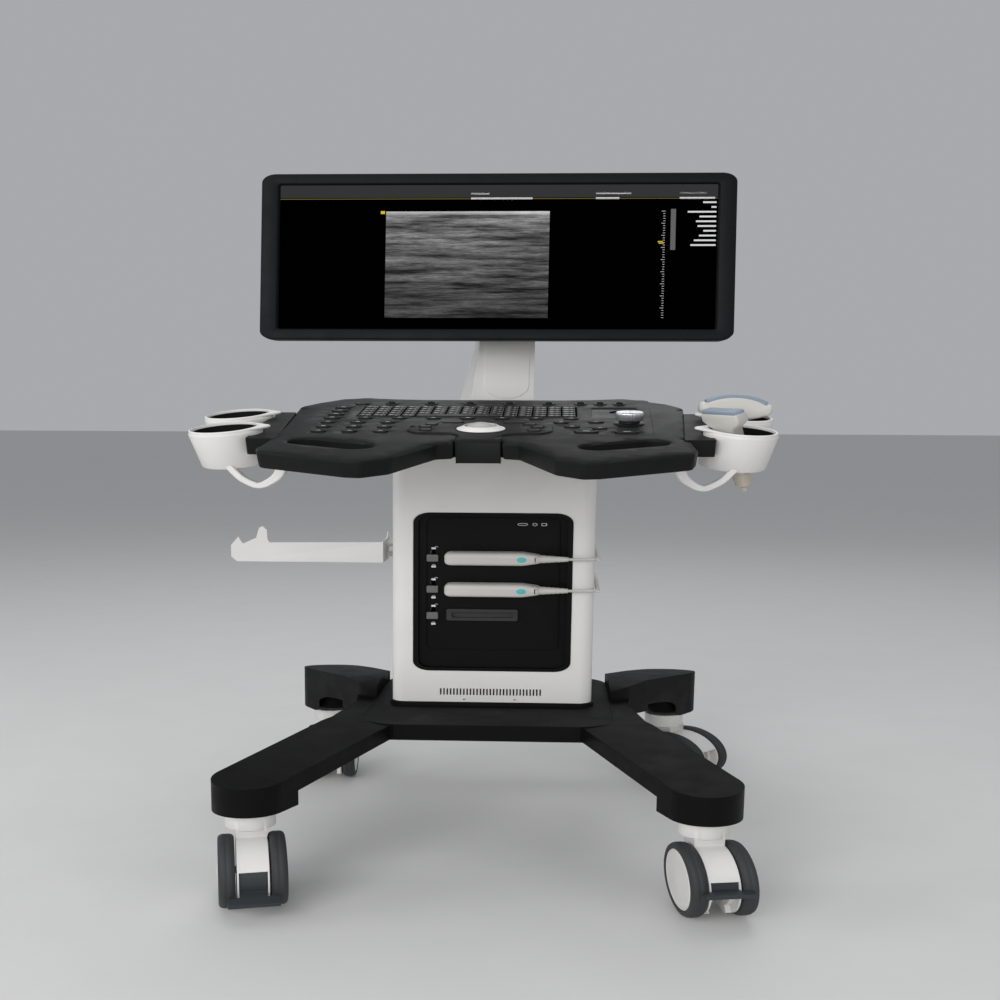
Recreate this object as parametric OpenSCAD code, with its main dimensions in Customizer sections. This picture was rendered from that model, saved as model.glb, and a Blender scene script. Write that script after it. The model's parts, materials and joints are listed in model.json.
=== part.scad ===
// Ultrasound scanner on a four-wheeled trolley, in millimetres.
// Origin: floor level on the mid-plane. +X is the operator's right, the operator stands at -Y, +Z is up.

/* [Casters] */
// Diameter of the caster wheels
wheel_d = 125; // [100:1:126]
// Width of one tyre of a twin caster
tyre_w = 18; // [14:1:18]
// Distance between the swivel axis and the wheel axle
caster_trail = 30; // [25:1:34]
// Sideways distance of the front swivel axes from the mid-plane
front_axis_x = 250; // [240:1:260]
// Distance of the front swivel axes in front of the origin
front_axis_y = 275; // [265:1:290]
// Sideways distance of the rear swivel axes from the mid-plane
rear_axis_x = 247; // [238:1:257]
// Distance of the rear swivel axes behind the origin
rear_axis_y = 246; // [240:1:262]
// Heading at rest of the front left, front right, rear left and rear right caster
headings = [15, 10, 5, 50]; // [0:1:60]

/* [Base] */
// Height of the flat top of the hub
hub_top_z = 272; // [268:1:276]
// Height of the top of the front leg ends
front_leg_z = 246; // [240:1:252]
// Height of the top of the rear leg ends
rear_leg_z = 288; // [280:1:296]

/* [Column] */
// Width of the column covers
column_w = 266; // [262:1:276]
// Depth of the column covers
column_d = 190; // [185:1:200]
// Distance of the column's front face behind the origin
column_front_y = 35; // [30:1:40]
// Height of the lower edge of the column covers
column_bottom_z = 280; // [279:1:284]
// Height of the top of the column covers
column_top_z = 856; // [850:1:857]

/* [Console] */
// Slope of the console towards the operator, in degrees
deck_tilt = 15; // [12:1:16]
// Height of the middle of the console's front edge
deck_z = 879; // [876:1:890]
// Distance of the middle of the console's front edge in front of the origin
deck_y = 285; // [280:1:290]
// Travel of the keys and buttons
key_travel = 2; // [1:0.5:2]

/* [Monitor] */
// Outer width of the monitor
monitor_w = 572; // [540:1:600]
// Outer height of the monitor
monitor_h = 338; // [320:1:345]
// Height of the centre of the monitor's front face
monitor_z = 1243; // [1240:1:1250]
// Backward lean of the monitor at rest, in degrees
monitor_tilt = 5; // [2:1:6]
// Turn of the monitor arm at rest, in degrees
arm_turn = 10; // [0:1:14]

/* [Hidden] */
$fn = 48;

run_gap = 0.05;          // radial clearance of a running fit
shell_t = 3;             // wall of the moulded covers
white = [0.85, 0.85, 0.82];
charcoal = [0.22, 0.23, 0.24];
black = [0.12, 0.13, 0.14];
tyre_grey = [0.36, 0.37, 0.38];
pedal_blue = [0.33, 0.38, 0.42];
plug_grey = [0.74, 0.74, 0.70];
steel = [0.62, 0.64, 0.66];
board_green = [0.10, 0.35, 0.22];

// Wheel and caster sizes that follow from the driving ones
floor_z = 20;            // height of the floor above the level that heights are drawn from
wheel_r = wheel_d / 2;
hub_r = wheel_r - 11;
axle_r = 6;
cheek_half = 17;         // half the width of the caster's centre body
tyre_in = cheek_half + 1.5;
tyre_out = tyre_in + tyre_w;
stem_r = 10;
neck_r = 28;
neck_top = 163;
neck_bottom = 134;
cone_bottom = 127;
body_r = 57;             // radius of the centre body's front
panel_r = 54;            // radius of the brake pedal's front panel
panel_half = 14.6;

bracket_screw_y = 104;
bracket_screw_z = [604, 628];

// Connector panel, measured from the mid-plane and the level below the floor
panel_w = 208;
panel_bottom = 352;
panel_top = 709;
panel_mid_z = (panel_top + panel_bottom) / 2;
panel_floor_y = column_front_y + 8;
socket_x = -13.5;
socket_z = [609, 539, 479];
lever_x = -79;
column_mid_y = column_front_y + column_d / 2;
column_back_y = column_front_y + column_d;

// Console outline corners in deck coordinates (x across, y up the slope), right half
deck_half = [[24, -14], [25, -24], [41, -29], [79, -110], [106, -131], [124, -128], [216, -80], [221, -60],
             [217, 20], [230, 230], [214, 262], [190, 296], [160, 309], [90, 294]];
deck_t = 6;
tray_depth = 32;
slot_r = 19;
slot_ends = [[177, -21], [122, -48]];
cup_r = 40;              // outer radius of a probe cup under its rim
cup_foot_r = 36;
cup_hole_r = 35;
cup_drain_r = 25;
cup_tip = 50;            // reach of the rim's lip towards the console
cup_places = [[275, 36, 4], [285, 142, 2]];
cup_lean = 6;            // outward lean of the cups, in degrees
cup_depth = 66;
linear_tail = [283, -224, 794];   // cable end of the linear probe

// Keys and buttons in deck coordinates
key_gap = 0.6;
button_size = [16, 9];
column_pitch = 33.5;
row_pitch = 31;
left_grid = [for (c = [0:2], r = [0:2]) [-175 + c * column_pitch, 40 + r * row_pitch]];
low_row = [for (i = [0:6]) [-137.5 + i * 38.9, 134]];
right_set = [[85, 106], [97, 76], [124, 110], [127, 66]];
left_stack = [for (i = [0:3]) [-175.5, 134 + i * 27]];
wide_set = [[112, 43], [155, 41]];
soft_row = [for (i = [0:4]) [-121 + i * 47.6, 248]];
soft_right = [for (i = [0:2]) [108 + i * 23.5, 250]];
ball_keys = [[-57, 83], [-62, 65], [-60, 44], [50, 84], [59, 65], [56, 43]];
wedge_keys = [[-35, 98], [33, 98]];
ball_pos = [-1, 52];
ball_r = 20;
ball_ring_r = 25;
knob_pos = [160, 100];
power_pos = [-157, 247];
keyboard_x = [-150, 102];
keyboard_y = [148, 228];
key_rows = 5;
key_cols = 15;
window_x = [120, 174];
window_y = [146, 219];

// Monitor arm and tilt head
arm_axis_y = 140;
arm_front = 80;
pivot_back = 62;
pivot_x = pivot_back * sin(arm_turn);
pivot_y = arm_axis_y - pivot_back * cos(arm_turn);
pivot_z = 1190;
tilt_y = pivot_y - 27;
tilt_z = 1232;
tilt_pin_r = 6;
monitor_y = -33;
monitor_x = 3;

// ---------- shared shapes ----------
module rounded_rect(w, h, r) {
    square([w - 2 * r, h], center = true);
    square([w, h - 2 * r], center = true);
    for (x = [-1, 1], y = [-1, 1])
        translate([x * (w / 2 - r), y * (h / 2 - r)]) circle(r);
}

module pill(w, h) {
    square([w - h, h], center = true);
    for (x = [-1, 1]) translate([x * (w - h) / 2, 0]) circle(h / 2);
}

module slab(w, d, h, r) { linear_extrude(h) rounded_rect(w, d, r); }

// A cylinder along X, centred on x
module x_rod(r, length, x = 0) { translate([x - length / 2, 0, 0]) rotate([0, 90, 0]) cylinder(r = r, h = length); }

// A cylinder that runs back along +Y from the origin
module y_rod(r, length) { rotate([-90, 0, 0]) cylinder(r = r, h = length); }

// Children drawn in deck coordinates: z = 0 is the console's top face
module on_deck() { translate([0, -deck_y, deck_z]) rotate([deck_tilt, 0, 0]) children(); }

// Children drawn on the column's front: x across, y up, z towards the operator
module on_column(y = column_front_y) { translate([0, y, 0]) rotate([90, 0, 0]) children(); }

// Children drawn in the monitor's frame: front face in the XZ plane, centre at the origin
module on_monitor() { translate([monitor_x, monitor_y, monitor_z]) rotate([-monitor_tilt, 0, 0]) children(); }

// Children drawn in the turned frame of the monitor arm, with its swivel axis at the origin
module on_arm() { translate([0, arm_axis_y, 0]) rotate([0, 0, arm_turn]) children(); }

// ---------- casters ----------
module at_caster(x, y, heading) { translate([x, y, floor_z]) rotate([0, 0, heading]) children(); }

module at_axle() { translate([0, -caster_trail, wheel_r]) children(); }

// Part of a ring round the axle, between two angles above the forward horizontal
module ring_sector(r0, r1, from, to, half) {
    step = (to - from) / 12;
    translate([-half, 0, 0]) rotate([90, 0, 90]) linear_extrude(2 * half) polygon(concat(
        [for (i = [0:12]) [-r1 * cos(from + i * step), r1 * sin(from + i * step)]],
        [for (i = [12:-1:0]) [-r0 * cos(from + i * step), r0 * sin(from + i * step)]]));
}

// Centre body of a caster: neck, two thin cheeks and a front shell that the brake pedal slides under
module fork() {
    slot_half = 9;
    color(white) difference() {
        union() {
            translate([0, 0, neck_bottom]) cylinder(r = neck_r, h = neck_top - neck_bottom);
            translate([0, 0, cone_bottom]) cylinder(r1 = 19, r2 = neck_r, h = neck_bottom - cone_bottom);
            translate([-cheek_half, -24, 96]) cube([2 * cheek_half, 42, cone_bottom - 86]);
            at_axle() {
                x_rod(19, 2 * cheek_half);
                intersection() {
                    x_rod(body_r, 2 * cheek_half);
                    translate([-cheek_half, -body_r, -52]) cube([2 * cheek_half, 2 * body_r - 9, 2 * body_r]);
                }
            }
        }
        translate([0, 0, cone_bottom - 8]) cylinder(r = stem_r + run_gap, h = neck_top);
        at_axle() {
            translate([-slot_half, -body_r - 1, -60]) cube([2 * slot_half, body_r + 15, 82]);
            ring_sector(panel_r - 9.5, panel_r + 0.5, -56, 54, panel_half + 0.4);
            ring_sector(panel_r, body_r + 2, -56, 24, panel_half + 0.4);
        }
    }
    color(steel) at_axle() x_rod(axle_r, 2 * tyre_out + 2);
}

module hubs() {
    color(white) at_axle() for (side = [-1, 1]) difference() {
        x_rod(hub_r - run_gap, tyre_w - 2, side * (tyre_in + tyre_w / 2));
        x_rod(axle_r + run_gap, 4 * tyre_out);
    }
}

// Tyre section: flat tread with rounded shoulders
module tyres() {
    shoulder = 5;
    color(tyre_grey) at_axle() for (side = [-1, 1])
        translate([side * (tyre_in + tyre_w / 2), 0, 0]) rotate([0, 90, 0]) rotate_extrude($fn = 72)
            translate([hub_r, 0]) {
                translate([0, -tyre_w / 2]) square([wheel_r - hub_r - shoulder, tyre_w]);
                translate([0, shoulder - tyre_w / 2]) square([wheel_r - hub_r, tyre_w - 2 * shoulder]);
                for (s = [-1, 1]) translate([wheel_r - hub_r - shoulder, s * (tyre_w / 2 - shoulder)]) circle(shoulder);
            }
}

// Brake pedal, which turns about the axle: press is its angle below the horizontal
module pedal(press) {
    web_half = 8;
    lip_half = 27;
    lip_from = wheel_r + 1.5;
    lip_to = wheel_r + 19.5;
    lip_t = 6;
    color(pedal_blue) at_axle() rotate([press, 0, 0]) {
        difference() {
            union() {
                x_rod(11, 2 * web_half);
                translate([-web_half, -panel_r + 2, -7]) cube([2 * web_half, panel_r - 2, 14]);
            }
            x_rod(axle_r + run_gap, 4 * web_half);
        }
        ring_sector(panel_r - 9, panel_r, -8, 40, panel_half);
        translate([-panel_half, -lip_from - 1, -lip_t]) cube([2 * panel_half, lip_from - panel_r + 6, lip_t]);
        translate([-lip_half, -lip_to, -lip_t]) cube([2 * lip_half, lip_to - lip_from, lip_t]);
    }
}

module front_left() { at_caster(-front_axis_x, -front_axis_y, headings[0]) children(); }
module front_right() { at_caster(front_axis_x, -front_axis_y, headings[1]) children(); }
module rear_left() { at_caster(-rear_axis_x, rear_axis_y, headings[2]) children(); }
module rear_right() { at_caster(rear_axis_x, rear_axis_y, headings[3]) children(); }

module front_left_fork() { front_left() fork(); }
module front_left_hubs() { front_left() hubs(); }
module front_left_tyres() { front_left() tyres(); }
module front_left_pedal() { front_left() pedal(15); }
module front_right_fork() { front_right() fork(); }
module front_right_hubs() { front_right() hubs(); }
module front_right_tyres() { front_right() tyres(); }
module front_right_pedal() { front_right() pedal(-12); }
module rear_left_fork() { rear_left() fork(); }
module rear_left_hubs() { rear_left() hubs(); }
module rear_left_tyres() { rear_left() tyres(); }
module rear_right_fork() { rear_right() fork(); }
module rear_right_hubs() { rear_right() hubs(); }
module rear_right_tyres() { rear_right() tyres(); }

// ---------- base ----------
hub_corner = [160, -62];       // where a front leg leaves the hub
rear_corner = [150, 120];      // where a rear leg leaves the hub
leg_r = 42;
hub_bottom_z = 238;
hub_size = [316, 315];
hub_round = 45;
hub_front_y = -80;

module hub_plan(inset) {
    translate([0, hub_front_y + hub_size[1] / 2])
        rounded_rect(hub_size[0] - 2 * inset, hub_size[1] - 2 * inset, hub_round - inset);
}

// Joins the front and the rear leg beside the hub
module leg_web() {
    translate([0, 0, hub_bottom_z]) linear_extrude(hub_top_z - hub_bottom_z) polygon([
        [100, hub_front_y], [118, hub_front_y], [200, -45], [190, 10], [183, 55], [187, 104],
        [190, 180], [125, 222], [100, 222]]);
}

// A straight bar in plan between two points, with round ends of radius r0 and r1
module leg_plan(from, to, r0, r1) {
    run = to - from;
    length = norm(run);
    translate(from) rotate(atan2(run[1], run[0])) {
        circle(r0);
        translate([length, 0]) circle(r1);
        polygon([[0, -r0], [length, -r1], [length, r1], [0, r0]]);
    }
}

// Solid of one front leg: its top and bottom planes slope down to the caster
module front_leg_solid() {
    slope = (hub_top_z - front_leg_z) / (front_axis_y + hub_corner[1]);
    plan_from = [hub_corner[0], hub_corner[1]];
    plan_to = [front_axis_x, -front_axis_y];
    intersection() {
        linear_extrude(300) leg_plan(plan_from, plan_to, 44, leg_r);
        rotate([90, 0, 90]) linear_extrude(400) polygon([
            [60, hub_top_z], [hub_corner[1], hub_top_z], [-front_axis_y, front_leg_z],
            [-front_axis_y - 60, front_leg_z - 60 * slope], [-front_axis_y - 60, 186],
            [-front_axis_y + 13, 186], [-front_axis_y + 13, 214], [-84, hub_bottom_z], [60, hub_bottom_z]]);
    }
}

// Solid of one rear leg: it rises above the hub and ends in a tall skirt with an arched opening to the front
module rear_leg_solid() {
    arch_half = 29;
    arch_z = 214;
    difference() {
        intersection() {
            linear_extrude(330) leg_plan(rear_corner, [rear_axis_x, rear_axis_y + 6], 44, 44);
            rotate([90, 0, 90]) linear_extrude(400) polygon([
                [40, hub_top_z + 4], [90, rear_leg_z + 12], [130, rear_leg_z + 16], [rear_axis_y, rear_leg_z],
                [rear_axis_y + 60, rear_leg_z - 12], [rear_axis_y + 60, 190], [rear_axis_y - 40, 190],
                [150, 226], [40, hub_bottom_z]]);
        }
        translate([rear_axis_x - 4, rear_axis_y + 4, 0]) rotate([0, 0, -14]) rotate([90, 0, 0]) linear_extrude(120) {
            translate([-arch_half, 100]) square([2 * arch_half, arch_z - 100]);
            translate([0, arch_z]) circle(arch_half);
        }
    }
    translate([rear_axis_x, rear_axis_y, 190]) cylinder(r = 27, h = 80);
}

// One moulding carries a front and a rear leg, with channels for the frame's arms
module leg_cover_half() {
    difference() {
        union() { front_leg_solid(); rear_leg_solid(); leg_web(); }
        translate([0, 0, 200]) linear_extrude(150) hub_plan(-0.1);
        frame_arms(1);
        caster_stems(stem_r + 1);
        translate([0, column_mid_y, hub_top_z - 7]) slab(column_w + 7, column_d + 7, 100, 20);
    }
}

module leg_covers() { color(charcoal) { leg_cover_half(); mirror([1, 0, 0]) leg_cover_half(); } }

module hub_cover() {
    foot_h = 7;
    color(charcoal) difference() {
        union() {
            translate([0, 0, hub_bottom_z]) linear_extrude(hub_top_z - hub_bottom_z) hub_plan(0);
            translate([0, column_mid_y, hub_top_z - 6]) slab(column_w + 6, column_d + 6, 6 + foot_h, 20);
        }
        translate([0, 0, hub_bottom_z - 1]) linear_extrude(hub_top_z - hub_bottom_z - shell_t) hub_plan(shell_t);
        translate([0, column_mid_y, hub_bottom_z]) slab(column_w - 24, column_d - 24, 60, 12);
        for (side = [0, 1]) mirror([side, 0, 0]) frame_arms(1);
    }
}

// Square steel tube between two points in space
module frame_arm(from, to, grow = 0) {
    half = 8 + grow;
    run = to - from;
    translate(from) rotate([0, 0, atan2(run[1], run[0])])
        rotate([0, -atan2(run[2], norm([run[0], run[1]])), 0])
            translate([-10, -half, -half]) cube([norm(run) + 10, 2 * half, 2 * half]);
}

module frame_arms(grow = 0) {
    frame_arm([110, -30, 254], [front_axis_x, -front_axis_y, 230], grow);
    frame_arm([110, 104, 254], [rear_axis_x, rear_axis_y, 270], grow);
}

module caster_stems(r) {
    for (p = [[front_axis_x, -front_axis_y, 240], [rear_axis_x, rear_axis_y, 280]])
        translate([p[0], p[1], floor_z + cone_bottom - 2]) cylinder(r = r, h = p[2] - floor_z - cone_bottom);
}

// Welded steel cross inside the covers, with the four caster stems
module base_frame() {
    color(steel) {
        for (side = [0, 1]) mirror([side, 0, 0]) {
            frame_arms();
            caster_stems(stem_r);
        }
        translate([-108, -60, 246]) cube([216, 180, 18]);
    }
}

// ---------- column ----------
module column_ring() {
    difference() {
        rounded_rect(column_w, column_d, 18);
        rounded_rect(column_w - 2 * shell_t, column_d - 2 * shell_t, 15);
    }
}

module column_half(front) {
    height = column_top_z - column_bottom_z;
    lap = 0.1;
    translate([0, column_mid_y, column_bottom_z]) intersection() {
        union() {
            linear_extrude(height) column_ring();
            translate([0, 0, height - shell_t]) slab(column_w - 1, column_d - 1, shell_t, 17);
        }
        translate([-column_w, front ? -column_d : lap, -1]) cube([2 * column_w, column_d - lap, height + 2]);
    }
}

module column_cover() {
    slots = 31;
    slot_pitch = 4.4;
    color(white) difference() {
        column_half(true);
        on_column() translate([0, panel_mid_z, -9]) linear_extrude(20)
            rounded_rect(panel_w, panel_top - panel_bottom, 22);
        for (i = [0:slots - 1])
            translate([-2 + (i - (slots - 1) / 2) * slot_pitch, column_front_y - 1, 296]) cube([2, 5, 15]);
        translate([0, arm_axis_y, column_top_z - 10]) cylinder(r = 30, h = 20);
    }
}

module rear_cover() {
    slots = 18;
    color(white) difference() {
        column_half(false);
        for (i = [0:slots - 1], z = [620, 660])
            translate([(i - (slots - 1) / 2) * 8 - 2, column_back_y - 5, z]) cube([4, 10, 26]);
        translate([-30, column_back_y - 6, 330]) cube([60, 12, 34]);
        translate([0, arm_axis_y, column_top_z - 10]) cylinder(r = 30, h = 20);
    }
}

// Two steel side channels, a foot plate and a head plate that carries the console and the monitor arm
module column_frame() {
    channel_x = 96;
    foot_z = 264.05;
    head_z = column_top_z - 16;
    color(steel) {
        for (side = [-1, 1]) translate([side * channel_x - 12, column_front_y + 40, foot_z])
            cube([24, 110, head_z - foot_z]);
        translate([-94, column_front_y + 30, foot_z]) cube([188, 110, 6]);
        translate([-108, column_front_y + 30, head_z]) cube([216, 130, 8]);
    }
}

module connector_panel() {
    rim = 3.5;
    h = panel_top - panel_bottom;
    color(black) on_column() translate([0, panel_mid_z, 0]) difference() {
        translate([0, 0, -8 - shell_t]) linear_extrude(8 + shell_t + 1) rounded_rect(panel_w - 0.4, h - 0.4, 21.8);
        translate([0, 0, -8]) linear_extrude(20) rounded_rect(panel_w - 4 * rim, h - 4 * rim, 16);
        for (z = socket_z) translate([socket_x, z - panel_mid_z, -20]) linear_extrude(20) rounded_rect(90, 20, 2);
        for (z = socket_z) translate([lever_x, z - panel_mid_z + 3, -20]) linear_extrude(20) rounded_rect(7, 28, 3);
    }
}

module probe_sockets() {
    color(black) for (z = socket_z) on_column(panel_floor_y) translate([socket_x, z, 0]) difference() {
        union() {
            translate([0, 0, -9]) linear_extrude(9) rounded_rect(89, 19, 1.5);
            linear_extrude(5) rounded_rect(94, 26, 3);
        }
        translate([0, 0, -2]) linear_extrude(10) rounded_rect(80, 12, 2);
    }
}

// Lever that locks a plug, in a slot of the panel: ribs on its face
module lock_lever(z) {
    color(plug_grey) on_column(panel_floor_y) translate([lever_x, z - 2, 0]) {
        translate([0, 0, -8]) linear_extrude(9) rounded_rect(6, 8, 2);
        translate([0, 0, 0.5]) linear_extrude(6) rounded_rect(15, 15, 1.5);
        for (rib = [-1:1]) translate([-7, rib * 4.4 - 0.8, 6]) cube([14, 1.6, 1.6]);
    }
}

module lock_lever_a() { lock_lever(socket_z[0]); }
module lock_lever_b() { lock_lever(socket_z[1]); }
module lock_lever_c() { lock_lever(socket_z[2]); }

// Probe plug with its strain relief; it sits on the socket's rim
module probe_plug(z) {
    body_l = 124;
    body_h = 29;
    plug_y = panel_floor_y - 5.5;
    color(plug_grey) on_column(plug_y) translate([0, z, 0]) {
        difference() {
            linear_extrude(26) rounded_rect(body_l, body_h, 10);
            translate([0, 0, 22]) difference() {
                linear_extrude(6) square([body_l + 2, body_h + 2], center = true);
                linear_extrude(6) rounded_rect(body_l - 8, body_h - 8, 7);
            }
        }
        translate([body_l / 2 - 2, 0, 13]) rotate([0, 90, 0]) cylinder(r1 = 9, r2 = 4.5, h = 40);
    }
    color(plug_grey) on_column(plug_y) translate([socket_x, z, -5]) linear_extrude(6) rounded_rect(78, 10, 1.5);
}

module plug_a() { probe_plug(socket_z[0]); }
module plug_b() { probe_plug(socket_z[1]); }

module main_board() {
    color(board_green) {
        translate([-78, column_mid_y + 12, 420]) cube([156, 2, 330]);
        translate([-50, column_mid_y - 12, 540]) cube([60, 24, 60]);
    }
}

module power_supply() {
    color(steel) translate([-70, column_mid_y - 35, 296]) cube([140, 80, 90]);
}

module fan_frame() {
    color(black) translate([0, column_back_y - 40, 653]) rotate([-90, 0, 0]) {
        difference() {
            translate([0, 0, 10]) linear_extrude(20, center = true) rounded_rect(92, 92, 6);
            cylinder(r = 43, h = 30);
        }
        difference() {
            union() {
                cylinder(r = 14, h = 3);
                for (a = [0, 90]) rotate(a) translate([-44, -3, 0]) cube([88, 6, 3]);
            }
        }
        cylinder(r = 3, h = 14);
    }
}

module fan_rotor() {
    color(black) translate([0, column_back_y - 40, 653]) rotate([-90, 0, 0]) translate([0, 0, 5]) difference() {
        union() {
            cylinder(r = 16, h = 12);
            for (blade = [0:6]) rotate(blade * 360 / 7) translate([12, -1, 1]) rotate([35, 0, 0]) cube([28, 2.5, 11]);
        }
        translate([0, 0, -1]) cylinder(r = 3 + run_gap, h = 20);
    }
}

module power_inlet() {
    color(black) translate([0, column_back_y - 14, 347]) rotate([-90, 0, 0]) difference() {
        union() {
            linear_extrude(13) rounded_rect(52, 28, 2);
            translate([0, 0, 14.05]) linear_extrude(2) rounded_rect(70, 42, 4);
            linear_extrude(15) rounded_rect(50, 26, 2);
        }
        translate([0, 0, 6]) linear_extrude(20) rounded_rect(24, 18, 3);
    }
}

// Sheet-metal bracket on the left side of the column
// Folded sheet tray at the column's left side, with a raised prong on its front plate
module side_bracket() {
    sheet = 2;
    front_y = 62;
    shelf_z = 592;
    side_x = -column_w / 2;
    flange_x = side_x - 16;
    color(white) {
        translate([0, front_y + sheet, 0]) rotate([90, 0, 0]) linear_extrude(sheet) polygon([
            [-351, 602], [-343, 591], [flange_x + sheet, 591], [flange_x + sheet, 638], [-299, 635], [-301.5, 642],
            [-302.5, 664], [-308, 672], [-313, 668], [-317, 645], [-335, 632], [-341, 648], [-351, 628]]);
        translate([-343, front_y, shelf_z]) cube([343 + flange_x, 52, sheet]);
        translate([-351, front_y, 602]) cube([sheet, 40, 26]);
        translate([flange_x, 0, 0]) rotate([90, 0, 90]) linear_extrude(sheet) polygon([
            [front_y, 591], [front_y + 56, 591], [front_y + 60, 600], [front_y + 60, 650], [front_y + 56, 654],
            [front_y + 46, 640], [front_y, 638]]);
        for (z = bracket_screw_z) translate([flange_x, bracket_screw_y, z]) rotate([0, 90, 0]) cylinder(r = 6, h = 16);
    }
}

module screw_head(r) { cylinder(r = r, h = 1.6); }

module screws() {
    color(steel) {
        for (x = [-36, 31]) on_column(column_front_y - 0.02) translate([x, 287.5, 0]) screw_head(1.6);
        for (x = [-110, 110], z = [320, 560, 800])
            translate([x, column_back_y + 0.02, z]) rotate([-90, 0, 0]) screw_head(3);
        for (z = bracket_screw_z)
            translate([-column_w / 2 - 16.02, bracket_screw_y, z]) rotate([0, -90, 0]) screw_head(4);
        for (side = [-1, 1], p = [[225, 70], [225, 120]])
            on_deck() translate([side * p[0], p[1], -37]) rotate([180, 0, 0]) screw_head(4);
    }
}

// ---------- console ----------
module deck_outline(inset = 0) {
    points = concat(deck_half, [for (i = [len(deck_half) - 1:-1:0]) [-deck_half[i][0], deck_half[i][1]]]);
    offset(r = 10 - inset) offset(delta = -10) polygon(points);
}

module handle_slots(grow = 0) {
    for (side = [0, 1]) mirror([side, 0])
        hull() for (p = slot_ends) translate(p) circle(slot_r + grow);
}

module keyboard_opening(grow = 0) {
    translate([(keyboard_x[0] + keyboard_x[1]) / 2, (keyboard_y[0] + keyboard_y[1]) / 2])
        rounded_rect(keyboard_x[1] - keyboard_x[0] + 2 * grow, keyboard_y[1] - keyboard_y[0] + 2 * grow, 2);
}

module window_outline(grow = 0) {
    translate([(window_x[0] + window_x[1]) / 2, (window_y[0] + window_y[1]) / 2])
        rounded_rect(window_x[1] - window_x[0] + 2 * grow, window_y[1] - window_y[0] + 2 * grow, 3);
}

// Raised island round the trackball, running forward to the console's front edge
module island_outline(inset = 0) {
    translate([-2, 58]) pill(154 - 2 * inset, 100 - 2 * inset);
    translate([-24 + inset, -22]) square([48 - 2 * inset, 52]);
}

module at_points(points) { for (p = points) translate([p[0], p[1], 0]) children(); }

module oval_holes() {
    at_points(concat(left_grid, low_row, right_set)) pill(button_size[0] + 2 * key_gap, button_size[1] + 2 * key_gap);
    at_points(left_stack) pill(19 + 2 * key_gap, 11 + 2 * key_gap);
    at_points(wide_set) pill(26 + 2 * key_gap, 11 + 2 * key_gap);
}

module soft_holes() {
    at_points(concat(soft_row, soft_right)) rounded_rect(14 + 2 * key_gap, 9 + 2 * key_gap, 3);
    translate([power_pos[0], power_pos[1], 0]) pill(17 + 2 * key_gap, 11 + 2 * key_gap);
}

module console_deck() {
    color(black) on_deck() difference() {
        union() {
            translate([0, 0, -deck_t]) linear_extrude(deck_t - 2) deck_outline();
            translate([0, 0, 1 - deck_t]) linear_extrude(deck_t - 1) deck_outline(2);
        }
        translate([0, 0, -20]) linear_extrude(40) {
            handle_slots();
            keyboard_opening(key_gap);
            oval_holes();
            soft_holes();
            window_outline(0.1);
            island_outline(-0.3);
            translate(knob_pos) circle(6);
        }
    }
}

// Lower half of the console: rim, floor, walls round the handle slots and the belly over the column
module console_tray() {
    wall = 3;
    rim_h = tray_depth - deck_t;
    belly_half = 112;
    color(black) difference() {
        union() {
            on_deck() translate([0, 0, -tray_depth]) linear_extrude(rim_h - 0.05) deck_outline(0.6);
            translate([-belly_half, 0, 0]) rotate([90, 0, 90]) linear_extrude(2 * belly_half) polygon([
                [-176, 888], [-120, column_top_z + 4], [90, column_top_z + 4], [90, 898], [2, 932]]);
        }
        on_deck() translate([0, 0, -tray_depth + wall]) linear_extrude(rim_h) difference() {
            deck_outline(wall + 0.6);
            handle_slots(wall);
            translate([-27, -32]) square([54, 46]);
        }
        on_deck() translate([0, 0, -60]) linear_extrude(80) handle_slots();
        on_deck() translate([-24.5, -40, -60]) cube([49, 50, 90]);
        translate([-belly_half + wall, -90, column_top_z + 7]) cube([2 * (belly_half - wall), 160, 34]);
    }
}

module centre_trim() {
    color(black) on_deck() difference() {
        union() {
            translate([0, 0, -5]) linear_extrude(6.5) island_outline();
            translate([-24, -22, -40]) cube([48, 30, 41]);
        }
        translate([0, 0, -50]) linear_extrude(100) {
            translate([-60, -80]) square([120, 60]);
            translate(ball_pos) circle(ball_ring_r + 0.3);
            at_points(ball_keys) rounded_rect(13 + 2 * key_gap, 11 + 2 * key_gap, 3);
            at_points(wedge_keys) rounded_rect(24 + 2 * key_gap, 9 + 2 * key_gap, 3);
        }
    }
}

// Plate under the keyboard
module keyboard_plate() {
    color(black) on_deck() translate([0, 0, -10]) linear_extrude(1.5) keyboard_opening(4);
}

// Every key of the keyboard: the lowest row has a space bar
module keyboard_keys() {
    pitch_x = (keyboard_x[1] - keyboard_x[0]) / key_cols;
    pitch_y = (keyboard_y[1] - keyboard_y[0]) / key_rows;
    bar_from = 4;
    bar_to = 9;
    color(charcoal) on_deck() translate([keyboard_x[0], keyboard_y[0], 0])
        for (row = [0:key_rows - 1], col = [0:key_cols - 1]) {
            in_bar = row == 0 && col > bar_from && col <= bar_to;
            wide = row == 0 && col == bar_from ? bar_to - bar_from : 0;
            if (!in_bar) translate([col * pitch_x + 0.8, row * pitch_y + 1, -6])
                cube([pitch_x * (1 + wide) - 1.6, pitch_y - 2, 7.5]);
        }
}

module button_stack(points, w, h, top = 2.2) {
    on_deck() at_points(points) translate([0, 0, -7]) linear_extrude(7 + top) pill(w, h);
}

module function_buttons() {
    color(charcoal) {
        button_stack(concat(left_grid, low_row, right_set), button_size[0], button_size[1]);
        button_stack(left_stack, 19, 11);
        button_stack(wide_set, 26, 11);
    }
}

module soft_keys() {
    color(charcoal) on_deck() at_points(concat(soft_row, soft_right)) translate([0, 0, -7])
        linear_extrude(11) rounded_rect(14, 9, 3);
}

module power_button() { color(charcoal) button_stack([power_pos], 17, 11); }

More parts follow.
